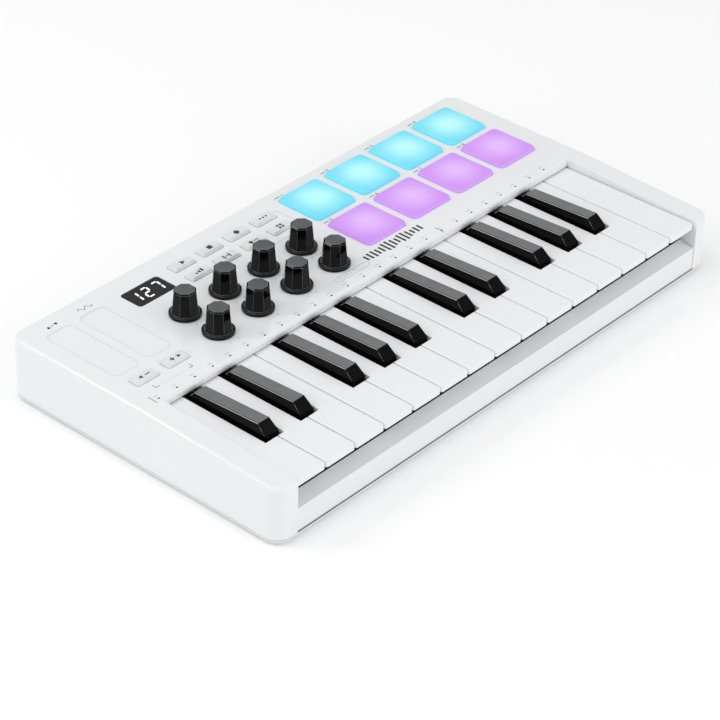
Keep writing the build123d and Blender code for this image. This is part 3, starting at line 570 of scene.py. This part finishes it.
# knobs: a tree joins an eight-sided grip, a flared skirt and its rim
knobShape = {"sides": 8, "acrossLow": 12.8 * mm, "acrossHigh": 10.6 * mm, "tall": 13.6 * mm,
             "chamfer": 0.7 * mm, "rimTall": 1.2 * mm, "flareTall": 0.5 * mm, "flareOut": 0.5 * mm,
             "flareShare": 0.98,                     # of the rim's height, where the flare starts
             "boreRadius": 4.7 * mm, "boreTall": 2.2 * mm, "boreBelow": 0.2 * mm,
             "shaftRadius": 3.0 * mm, "softEdge": 0.22 * mm,
             "skirtPoints": 96, "borePoints": 48, "shaftPoints": 32}
knobTree, given = startTree("knobTree", {
    "sides": "Int", "gripLow": "Float", "gripHigh": "Float", "gripTall": "Float", "chamfer": "Float",
    "skirtRadius": "Float", "rimTall": "Float", "flareTall": "Float", "flareTop": "Float",
    "boreRadius": "Float", "boreTall": "Float", "shaftRadius": "Float", "shaftTall": "Float",
    "shaftPlace": "Vector", "place": "Vector", "finish": "Material"})


def roundPrism(tree, sides, lowRadius, highRadius, tall):
    return addNode(tree, "GeometryNodeMeshCone", {"Vertices": sides, "Radius Bottom": lowRadius,
                                                  "Radius Top": highRadius, "Depth": tall})


def liftedBy(tree, geometry, height):
    offset = addNode(tree, "ShaderNodeCombineXYZ", {"Z": height}).outputs[0]
    return addNode(tree, "GeometryNodeTransform", {"Geometry": geometry,
                                                   "Translation": offset}).outputs[0]


grip = roundPrism(knobTree, given["sides"], given["gripLow"], given["gripHigh"], given["gripTall"])
crown = addNode(knobTree, "GeometryNodeExtrudeMesh", {"Mesh": grip.outputs["Mesh"],
                                                      "Selection": grip.outputs["Top"],
                                                      "Offset Scale": given["chamfer"]})
shrink = mathOf(knobTree, "DIVIDE", mathOf(knobTree, "SUBTRACT", given["gripHigh"], given["chamfer"]),
                given["gripHigh"])
crowned = addNode(knobTree, "GeometryNodeScaleElements", {"Geometry": crown.outputs["Mesh"],
                                                          "Selection": crown.outputs["Top"],
                                                          "Scale": shrink})
turned = addNode(knobTree, "GeometryNodeTransform", {      # half a side, so that a flat faces front
    "Geometry": crowned.outputs[0], "Rotation": (0, 0, math.pi / knobShape["sides"])})
grips = liftedBy(knobTree, turned.outputs[0], mathOf(knobTree, "MULTIPLY", given["rimTall"], 0.5))
rim = roundPrism(knobTree, knobShape["skirtPoints"], given["skirtRadius"], given["skirtRadius"],
                 given["rimTall"])
flareCone = roundPrism(knobTree, knobShape["skirtPoints"], given["skirtRadius"], given["flareTop"],
                       given["flareTall"])
flare = liftedBy(knobTree, flareCone.outputs["Mesh"],
                 mathOf(knobTree, "MULTIPLY", given["rimTall"], knobShape["flareShare"]))
joined = addNode(knobTree, "GeometryNodeMeshBoolean", operation="UNION", solver="EXACT")
for solid in (grips, flare, rim.outputs["Mesh"]):
    knobTree.links.new(solid, joined.inputs["Mesh 2"])
bore = roundPrism(knobTree, knobShape["borePoints"], given["boreRadius"], given["boreRadius"],
                  given["boreTall"])
boreBelow = liftedBy(knobTree, bore.outputs["Mesh"], -knobShape["boreBelow"])
hollow = addNode(knobTree, "GeometryNodeMeshBoolean", {"Mesh 1": joined.outputs["Mesh"]},
                 operation="DIFFERENCE", solver="EXACT")
knobTree.links.new(boreBelow, hollow.inputs["Mesh 2"])
shaft = addNode(knobTree, "GeometryNodeTransform", {
    "Geometry": roundPrism(knobTree, knobShape["shaftPoints"], given["shaftRadius"],
                           given["shaftRadius"], given["shaftTall"]).outputs["Mesh"],
    "Translation": given["shaftPlace"]})
whole = addNode(knobTree, "GeometryNodeJoinGeometry")
for solid in (shaft.outputs[0], hollow.outputs["Mesh"]):
    knobTree.links.new(solid, whole.inputs["Geometry"])
placed = addNode(knobTree, "GeometryNodeTransform", {"Geometry": whole.outputs[0],
                                                     "Translation": given["place"]})
endTree(knobTree, placed.outputs[0], given["finish"])

cornerShare = 1 / math.cos(math.pi / knobShape["sides"])
for nodeName in [name for name in nodes if name.startswith("knob")]:
    low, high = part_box(nodeName)
    middle = (low + high) / 2
    knobBottom = high.z - knobShape["tall"]
    knob = growPiece("grip_" + nodeName, knobTree, {
        "sides": knobShape["sides"], "gripLow": knobShape["acrossLow"] / 2 * cornerShare,
        "gripHigh": knobShape["acrossHigh"] / 2 * cornerShare,
        "gripTall": knobShape["tall"] - knobShape["rimTall"] / 2 - knobShape["chamfer"],
        "chamfer": knobShape["chamfer"], "skirtRadius": (high.x - low.x) / 2,
        "rimTall": knobShape["rimTall"], "flareTall": knobShape["flareTall"],
        "flareTop": knobShape["acrossLow"] / 2 + knobShape["flareOut"],
        "boreRadius": knobShape["boreRadius"],
        "boreTall": knobShape["boreTall"], "shaftRadius": knobShape["shaftRadius"],
        "shaftTall": knobBottom - low.z + knobShape["boreTall"], "shaftPlace": (0, 0, low.z - knobBottom),
        "place": (middle.x, middle.y, knobBottom), "finish": knobMaterial})
    softenEdges(knob, knobShape["softEdge"], 2, 22.0, 30.0, edgeHighlightMaterial)
    # only the grip's edges carry the painted highlight, not the skirt's
    gripFoot = knobBottom + knobShape["rimTall"] + knobShape["flareTall"]
    for face in knob.data.polygons:
        if face.center.z < gripFoot:
            face.material_index = 0
    seat(knob, nodeName, "knob_black", nodeName)
print("knobs grown")


# case mouldings with their edges eased
def easedCopy(name, nodeName, material, width):
    shape = bmesh.new()
    shape.from_mesh(nodes[nodeName].data)
    bmesh.ops.remove_doubles(shape, verts=shape.verts, dist=0.002 * mm)
    bmesh.ops.dissolve_limit(shape, angle_limit=math.radians(0.5), verts=shape.verts, edges=shape.edges)
    piece = pieceFrom(name, shape, material)
    if "custom_normal" in piece.data.attributes:
        piece.data.attributes.remove(piece.data.attributes["custom_normal"])
    softenEdges(piece, width, 2, 40.0)
    return piece


topCase = easedCopy("topCase", "top_case", caseMaterial, 0.3 * mm)
seat(topCase, "case", "case_white", "top_case")
floorPlate = easedCopy("floorPlate", "bottom_case", baseMaterial, 0.2 * mm)
plateRim = {"band": 1.0 * mm, "out": 0.45 * mm, "corner": 7.4 * mm, "inset": 0.6 * mm}
for vertex in floorPlate.data.vertices:
    # the plate's edge is brought out nearly level with the wall above it
    reachX = abs(vertex.co.x) - (boxHigh.x - plateRim["inset"] - plateRim["corner"])
    reachY = abs(vertex.co.y) - (boxHigh.y - plateRim["inset"] - plateRim["corner"])
    if reachX > 0 and reachY > 0:
        outward = Vector((reachX, reachY, 0))
    else:
        outward = Vector((max(reachX, 0), max(reachY, 0), 0))
    if outward.length > plateRim["corner"] - plateRim["band"]:
        outward.normalize()
        vertex.co += Vector((math.copysign(outward.x, vertex.co.x),
                             math.copysign(outward.y, vertex.co.y), 0)) * plateRim["out"]
seat(floorPlate, "case", "case_white", "bottom_case")
print("case mouldings eased")

# dark band in the gap between the two mouldings: painted shade
parting = {"height": 3.0 * mm, "thick": 0.42 * mm, "corner": 8.0 * mm, "inset": 0.06 * mm,
           "deep": 1.0 * mm, "steps": 12}
centre = Vector((0, 0, 0))
halfCase = (boxHigh.x, boxHigh.y)
partingLoops = [[roundedOutline(centre, halfCase, parting["corner"], inset, z, parting["steps"])
                 for inset in (parting["inset"], parting["inset"] + parting["deep"])]
                for z in (parting["height"] - parting["thick"] / 2,
                          parting["height"] + parting["thick"] / 2)]
seam = bmesh.new()
(lowOuter, lowInner), (highOuter, highInner) = [
    [[seam.verts.new(point) for point in loop] for loop in pair] for pair in partingLoops]
for index in range(len(lowOuter)):
    following = (index + 1) % len(lowOuter)
    for one, two in ((lowOuter, highOuter), (highOuter, highInner),
                     (highInner, lowInner), (lowInner, lowOuter)):
        seam.faces.new((one[index], one[following], two[following], two[index]))
seat(pieceFrom("partingShadeBand", seam, seamShadeMaterial), "case")
print("parting line laid")

# sloping apron that stands on the front ledge, under the key fronts
apron = {"front": 0.9 * mm, "rear": 8.6 * mm, "ledge": 15.7 * mm, "rise": 1.9 * mm, "sunk": 0.15 * mm,
         "lip": 0.02 * mm, "endGap": 0.25 * mm}
ends = (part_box("white_key_01")[0].x - apron["endGap"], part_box("white_key_15")[1].x + apron["endGap"])
section = [(boxLow.y + apron["front"], apron["ledge"] - apron["sunk"]),
           (boxLow.y + apron["rear"], apron["ledge"] - apron["sunk"]),
           (boxLow.y + apron["rear"], apron["ledge"] + apron["rise"]),
           (boxLow.y + apron["front"], apron["ledge"] + apron["lip"])]
slope = bmesh.new()
leftLoop, rightLoop = ([slope.verts.new((x, y, z)) for y, z in section] for x in ends)
slope.faces.new(leftLoop[::-1])
slope.faces.new(rightLoop)
for one, two, three, four in zip(leftLoop, leftLoop[1:] + leftLoop[:1],
                                 rightLoop[1:] + rightLoop[:1], rightLoop):
    slope.faces.new((one, two, three, four))
seat(pieceFrom("frontApron", slope, caseMaterial), "case", "case_white")
print("apron laid")

# rubber feet with ring grooves
footShape = {"radius": 6.0 * mm, "inset": (20 * mm, 16 * mm), "steps": 12,
             "rings": [(5.0, 0.35), (4.6, 0.0), (3.7, 0.0), (3.5, 0.3), (2.8, 0.3), (2.6, 0.0),
                       (0.45, 0.0), (0.12, 0.12), (0.0, 0.45)]}      # inset and height, in millimetres
low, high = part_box("rubber_feet")
feet = bmesh.new()
for sideX, sideY in ((-1, -1), (1, -1), (-1, 1), (1, 1)):
    middle = Vector((sideX * (boxHigh.x - footShape["inset"][0]),
                     sideY * (boxHigh.y - footShape["inset"][1]), 0))
    profile = [(inset * mm, height * mm) for inset, height in footShape["rings"]] + [(0, high.z)]
    addStack(feet, middle, (footShape["radius"],) * 2, footShape["radius"], profile,
             footShape["steps"])
seat(pieceFrom("feet", feet, footMaterial), "case", "foot_rubber", "rubber_feet")
print("feet made")

# printed marks: a tree repeats a mark along a line
rowTree, given = startTree("rowTree", {"count": "Int", "step": "Vector", "start": "Vector",
                                       "finish": "Material"})
line = addNode(rowTree, "GeometryNodeMeshLine", {"Count": given["count"], "Start Location": given["start"],
                                                 "Offset": given["step"]})
stamped = addNode(rowTree, "GeometryNodeInstanceOnPoints", {"Points": line.outputs[0],
                                                            "Instance": given["Geometry"]})
endTree(rowTree, stamped.outputs[0], given["finish"])

ink = {"thick": 0.02 * mm, "sunk": 0.04 * mm, "line": 0.3 * mm}
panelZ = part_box("top_case")[1].z
keyReach = 82 * mm
panelFront = boxLow.y + keyReach     # the panel's front edge, where the keys go under it


def bar(middleX, middleY, wide, high):
    return [(middleX - wide / 2, middleY - high / 2), (middleX + wide / 2, middleY - high / 2),
            (middleX + wide / 2, middleY + high / 2), (middleX - wide / 2, middleY + high / 2)]


def disc(middleX, middleY, radius, sides=20):
    return [(middleX + radius * math.cos(math.tau * side / sides),
             middleY + radius * math.sin(math.tau * side / sides)) for side in range(sides)]


def triangle(middleX, middleY, size, heading):
    return [(middleX + size * math.cos(heading + math.tau * corner / 3),
             middleY + size * math.sin(heading + math.tau * corner / 3)) for corner in range(3)]


def printAt(shape, outline, height=panelZ):
    addPrism(shape, outline, height - ink["sunk"], height + ink["thick"])


def addRing(shape, outer, inner, height=panelZ):
    # a printed outline between two loops with the same number of points
    layers = [[[shape.verts.new((x, y, z)) for x, y, *rest in loop] for loop in (outer, inner)]
              for z in (height - ink["sunk"], height + ink["thick"])]
    (lowOuter, lowInner), (highOuter, highInner) = layers
    for index in range(len(outer)):
        following = (index + 1) % len(outer)
        shape.faces.new((lowOuter[following], lowOuter[index], lowInner[index], lowInner[following]))
        shape.faces.new((highOuter[index], highOuter[following], highInner[following], highInner[index]))
        shape.faces.new((lowOuter[index], lowOuter[following], highOuter[following], highOuter[index]))
        shape.faces.new((lowInner[following], lowInner[index], highInner[index], highInner[following]))


def addNumeral(shape, text, size, middleX, middleY, height=panelZ):
    letters = bpy.data.curves.new("numeral", "FONT")
    letters.body = text
    letters.size = size
    letters.align_x = "CENTER"
    letters.align_y = "CENTER"
    letters.extrude = (ink["thick"] + ink["sunk"]) / 2
    holder = newObject("numeral", letters)
    bpy.context.view_layer.update()
    mesh = bpy.data.meshes.new_from_object(holder.evaluated_get(bpy.context.evaluated_depsgraph_get()))
    mesh.transform(Matrix.Translation((middleX, middleY, height - (ink["sunk"] - ink["thick"]) / 2)))
    shape.from_mesh(mesh)
    bpy.data.objects.remove(holder)
    bpy.data.meshes.remove(mesh)


def markMesh(outline):
    shape = bmesh.new()
    addPrism(shape, outline, -ink["sunk"], ink["thick"])
    mesh = bpy.data.meshes.new("mark")
    shape.to_mesh(mesh)
    shape.free()
    return mesh


keyDots = {"count": 25, "pitch": 11.6 * mm, "first": -147.4 * mm, "behindEdge": 3.2 * mm,
           "radius": 0.55 * mm, "dash": (2.6 * mm, 0.4 * mm), "dashBehind": 5.4 * mm}
dots = growPiece("keyDots", rowTree, {
    "count": keyDots["count"], "step": (keyDots["pitch"], 0, 0), "finish": blackInk,
    "start": (keyDots["first"], panelFront + keyDots["behindEdge"], panelZ)},
    markMesh(disc(0, 0, keyDots["radius"])))
seat(dots, "case")
dashes = growPiece("keyDashes", rowTree, {
    "count": keyDots["count"], "step": (keyDots["pitch"], 0, 0), "finish": greyInk,
    "start": (keyDots["first"], panelFront + keyDots["dashBehind"], panelZ)},
    markMesh(bar(0, 0, *keyDots["dash"])))
seat(dashes, "case")

blackMarks = bmesh.new()
greyMarks = bmesh.new()
split = {"places": (-150.3 * mm, 49.2 * mm), "behindEdge": 4.2 * mm, "long": 6.0 * mm}
for tickX in split["places"]:
    printAt(blackMarks, bar(tickX, panelFront + split["behindEdge"], ink["line"], split["long"]))

# bracket in front of the two octave buttons, dashed between its corners
bracket = {"ahead": 9.3 * mm, "left": -1.7 * mm, "right": 2.1 * mm, "arm": 2.5 * mm,
           "dashes": 9, "dashFirst": 2.6 * mm, "dashPitch": 1.7 * mm, "dash": 0.9 * mm}
octaveLow = buttonTop["button_octave_down"]
octaveHigh = buttonTop["button_octave_up"]
bracketY = octaveLow.y - bracket["ahead"]
for corner, inward in ((octaveLow.x + bracket["left"], 1), (octaveHigh.x + bracket["right"], -1)):
    printAt(blackMarks, bar(corner, bracketY + bracket["arm"] / 2, ink["line"], bracket["arm"]))
    printAt(blackMarks, bar(corner + inward * bracket["arm"] / 2, bracketY, bracket["arm"], ink["line"]))
for step in range(bracket["dashes"]):
    printAt(greyMarks, bar(octaveLow.x + bracket["dashFirst"] + step * bracket["dashPitch"], bracketY,
                           bracket["dash"], ink["line"]))

# bracket round the right-hand end of the button block
block = {"right": 11.1 * mm, "behind": 0.8 * mm, "ahead": 8.0 * mm, "rearLine": 2.8 * mm,
         "frontLine": 24 * mm}
blockRight = buttonTop["button_1_4"].x + block["right"]
blockRear = buttonTop["button_1_4"].y + block["behind"]
blockFront = buttonTop["button_2_4"].y - block["ahead"]
printAt(greyMarks, bar(blockRight - block["rearLine"] / 2, blockRear, block["rearLine"], ink["line"]))
printAt(greyMarks, bar(blockRight, (blockRear + blockFront) / 2, ink["line"], blockRear - blockFront))
printAt(greyMarks, bar(blockRight - block["frontLine"] / 2, blockFront, block["frontLine"], ink["line"]))

# minus, dot and plus in front of each knob
knobSign = {"ahead": 2.2 * mm, "aside": 2.6 * mm, "stroke": 1.4 * mm, "dot": 0.32 * mm}
for nodeName in [name for name in nodes if name.startswith("knob")]:
    low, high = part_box(nodeName)
    middleX = (low.x + high.x) / 2
    markY = low.y - knobSign["ahead"]
    printAt(greyMarks, bar(middleX - knobSign["aside"], markY, knobSign["stroke"], ink["line"]))
    printAt(greyMarks, disc(middleX, markY, knobSign["dot"]))
    printAt(greyMarks, bar(middleX + knobSign["aside"], markY, knobSign["stroke"], ink["line"]))
    printAt(greyMarks, bar(middleX + knobSign["aside"], markY, ink["line"], knobSign["stroke"]))

# pad numbers, each with a short rule
padLabel = {"left": 10.6 * mm, "behind": 2.4 * mm, "rule": (3.6 * mm, 0.4 * mm), "ruleLeft": 1.2 * mm,
            "size": 2.9 * mm, "numberRight": 2.4 * mm}
for number in range(8):
    low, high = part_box(f"pad_{number // 4 + 1}_{number % 4 + 1}")
    labelX = (low.x + high.x) / 2 - padLabel["left"]
    labelY = high.y - padShape["flange"] + padLabel["behind"]
    printAt(blackMarks, bar(labelX - padLabel["ruleLeft"], labelY, *padLabel["rule"]))
    addNumeral(blackMarks, str(number + 1), padLabel["size"], labelX + padLabel["numberRight"], labelY)

# level bars where the panel has its widest free space
levels = {"start": 4.6 * mm, "y": 9.0 * mm, "count": 15, "pitch": 2.85 * mm, "wide": 1.35 * mm,
          "high": 8.0 * mm, "least": 0.45, "swing": 0.55, "beat": 0.75, "phase": 0.5}
for index in range(levels["count"]):
    beat = abs(math.sin(levels["beat"] * index + levels["phase"]))
    swell = levels["least"] + levels["swing"] * beat * math.sin(math.pi * (index + 1) / (levels["count"] + 1))
    printAt(blackMarks, bar(levels["start"] + index * levels["pitch"], levels["y"], levels["wide"],
                            levels["high"] * min(swell, 1.0)))

# pill outline between the knobs and the keys, with four dashes in it
pill = {"middle": Vector((-9.0 * mm, 5.8 * mm, 0)), "half": (12.0 * mm, 1.9 * mm), "corner": 1.9 * mm,
        "line": 0.3 * mm, "dashes": 4, "dashFirst": -8.0 * mm, "dashPitch": 2.2 * mm,
        "dash": (1.3 * mm, 0.5 * mm)}
addRing(greyMarks, *[roundedOutline(pill["middle"], pill["half"], pill["corner"], inset, 0)
                     for inset in (0, pill["line"])])
for step in range(pill["dashes"]):
    printAt(greyMarks, bar(pill["middle"].x + pill["dashFirst"] + step * pill["dashPitch"],
                           pill["middle"].y, *pill["dash"]))

# grey rings round the two touch strips: painted shade along each recess edge
touch = {"places": (-141.4 * mm, -120.4 * mm), "y": 48.5 * mm, "half": (7.25 * mm, 23.5 * mm),
         "corner": 3.0 * mm, "out": 0.75 * mm, "line": 0.3 * mm}
touchShadeLines = bmesh.new()
for touchX in touch["places"]:
    middle = Vector((touchX, touch["y"], 0))
    addRing(touchShadeLines, *[roundedOutline(middle, touch["half"], touch["corner"], -out, 0)
                          for out in (touch["out"], touch["out"] - touch["line"])])
seat(pieceFrom("touchShadeLines", touchShadeLines, touchShadeInk), "case")

# signs behind the two touch strips: up and down triangles, and a wave
strips = {"first": -140.2 * mm, "second": -119.3 * mm, "y": 76.7 * mm, "aside": 2.4 * mm,
          "lift": 0.3 * mm, "triangle": 1.3 * mm, "dash": 1.6 * mm, "wavePoints": 24,
          "waveStep": 0.36 * mm, "waveHigh": 1.1 * mm, "waveHalf": 0.22 * mm}
for side in (-1, 1):
    printAt(blackMarks, triangle(strips["first"] + side * strips["aside"],
                                 strips["y"] + side * strips["lift"], strips["triangle"],
                                 -side * math.pi / 2))
printAt(blackMarks, bar(strips["first"], strips["y"], strips["dash"], ink["line"]))
wave = [(strips["second"] + (step - strips["wavePoints"] / 2) * strips["waveStep"],
         strips["y"] + strips["waveHigh"] * math.sin(2 * math.tau * step / strips["wavePoints"]))
        for step in range(strips["wavePoints"] + 1)]
waveLower = [(x, y - strips["waveHalf"]) for x, y in wave]
waveUpper = [(x, y + strips["waveHalf"]) for x, y in reversed(wave)]
printAt(blackMarks, waveLower + waveUpper)
seat(pieceFrom("blackMarks", blackMarks, blackInk), "case")
seat(pieceFrom("greyMarks", greyMarks, greyInk), "case")

# signs on the buttons, drawn in millimetres about each button's middle
signScale = 1.3
signs = {
    "button_1_1": [triangle(0, 0, 1.4, 0)],
    "button_1_2": [bar(0, 0, 2.2, 2.2)],
    "button_1_3": [disc(0, 0, 1.2)],
    "button_1_4": [disc(step * 1.6, 0, 0.5) for step in (-1, 0, 1)],
    "button_2_1": [bar(step * 1.5, step * 0.3, 0.9, 1.5 + 0.6 * step) for step in (-1, 0, 1)],
    "button_2_2": [bar(-1.4, 0, 0.7, 2.2), bar(1.4, 0, 0.7, 2.2), bar(0, 0, 1.6, 0.4)],
    "button_2_3": [disc(-1.5, 0, 0.9), bar(1.2, 0, 2.4, 0.5)],
    "button_2_4": [bar(sideX * 0.8, sideY * 0.8, 1.1, 1.1) for sideX in (-1, 1) for sideY in (-1, 1)],
    "button_octave_down": [triangle(-1.6, 0, 1.1, math.pi), bar(1.4, 0, 2.2, 0.5)],
    "button_octave_up": [triangle(1.6, 0, 1.1, 0), bar(-1.4, 0, 2.2, 0.5), bar(-1.4, 0, 0.5, 2.2)]}
for nodeName, top in buttonTop.items():
    sign = bmesh.new()
    for outline in signs[nodeName]:
        printAt(sign, [(top.x + x * signScale * mm, top.y + y * signScale * mm) for x, y in outline], top.z)
    seat(pieceFrom("sign_" + nodeName, sign, blackInk), nodeName)
print("marks printed")

# contacts on the socket's tongue
usb = next(mount for mount in frame["record"]["mounts"] if mount["name"] == "usb_socket")
pins = {"count": 12, "pitch": 0.5 * mm, "wide": 0.26 * mm, "long": 3.2 * mm, "inward": 2.6 * mm,
        "rise": 0.36 * mm}
usbX, usbY, usbZ = usb["pos_m"]
goldMaterial = metalFinish("contactGold", (0.75, 0.55, 0.22), (0.6, 0.42, 0.15), (1.0, 0.2, 1.0))
for side, label in ((1, "upper"), (-1, "lower")):
    contacts = growPiece(label + "Contacts", rowTree, {
        "count": pins["count"], "step": (pins["pitch"], 0, 0), "finish": goldMaterial,
        "start": (usbX - pins["pitch"] * (pins["count"] - 1) / 2, usbY - pins["inward"],
                  usbZ + side * pins["rise"])}, markMesh(bar(0, 0, pins["wide"], pins["long"])))
    seat(contacts, "case", "component_metal")
print("socket contacts laid")

# stage, light and camera
stage = {"floorSize": 8.0, "floorColor": (0.95, 0.95, 0.955), "floorTint": (0.94, 0.94, 0.945),
         "floorCloud": 3.0, "floorRoughness": 0.12, "floorGlow": 0.09, "world": 0.66,
         "softboxes": [
             {"name": "overhead", "at": (-0.5, 0.6, 1.5), "size": 1.2, "watts": 6.0},
             {"name": "edgeGlint", "at": (-0.85, 0.82, 0.93), "size": 0.22, "watts": 1.5},
             {"name": "frontFill", "at": (0.5, -1.6, 0.6), "size": 1.4, "watts": 9.0},
             {"name": "leftFill", "at": (-1.6, -0.1, 0.65), "size": 1.3, "watts": 4.0}]}
floorMesh = bpy.data.meshes.new("floor")
half = stage["floorSize"] / 2
floorMesh.from_pydata([(-half, -half, 0), (half, -half, 0), (half, half, 0), (-half, half, 0)], [],
                      [(0, 1, 2, 3)])
floor = newObject("floor", floorMesh)
floorMaterial, floorTree, floorShader = startMaterial("paleFloor")
floorCloud = noiseOf(floorTree, objectPlace(floorTree), stage["floorCloud"])
feed(floorTree, floorShader, {
    "Base Color": mixColors(floorTree, floorCloud, stage["floorColor"], stage["floorTint"]),
    "Roughness": stage["floorRoughness"], "Emission Color": (1, 1, 1, 1),
    "Emission Strength": stage["floorGlow"]})
floor.data.materials.append(floorMaterial)

world = bpy.data.worlds.new("softRoom")
world.use_nodes = True
feed(world.node_tree, world.node_tree.nodes["Background"], {"Color": (1, 1, 1, 1),
                                                            "Strength": stage["world"]})
scene.world = world
caseMiddle = (boxLow + boxHigh) / 2
for softbox in stage["softboxes"]:
    lamp = bpy.data.lights.new(softbox["name"], "AREA")
    lamp.shape = "SQUARE"
    lamp.size = softbox["size"]
    lamp.energy = softbox["watts"]
    lampObject = newObject(softbox["name"], lamp)
    lampObject.location = softbox["at"]
    lampObject.rotation_euler = (caseMiddle - Vector(softbox["at"])).to_track_quat("-Z", "Y").to_euler()

view = {"turn": -48.74, "rise": 34.353, "roll": 1.128, "lens": 135.06, "distance": 1.3057,
        "target": (-0.0275, -0.0036, 0.0), "shift": (0.0273, -0.0094)}
turn, rise, roll = (math.radians(view[key]) for key in ("turn", "rise", "roll"))
back = Vector((math.sin(turn) * math.cos(rise), -math.cos(turn) * math.cos(rise), math.sin(rise)))
right = Vector((math.cos(turn), math.sin(turn), 0))
up = back.cross(right)
rolledRight = math.cos(roll) * right + math.sin(roll) * up
rolledUp = math.cos(roll) * up - math.sin(roll) * right
camera = newObject("camera", bpy.data.cameras.new("camera"))
camera.data.lens = view["lens"]
camera.data.sensor_width = 36.0
camera.data.shift_x, camera.data.shift_y = view["shift"]
axes = Matrix((rolledRight, rolledUp, back)).transposed()
camera.matrix_world = Matrix.Translation(Vector(view["target"]) + back * view["distance"]) @ axes.to_4x4()
scene.camera = camera
print("stage, light and camera set")
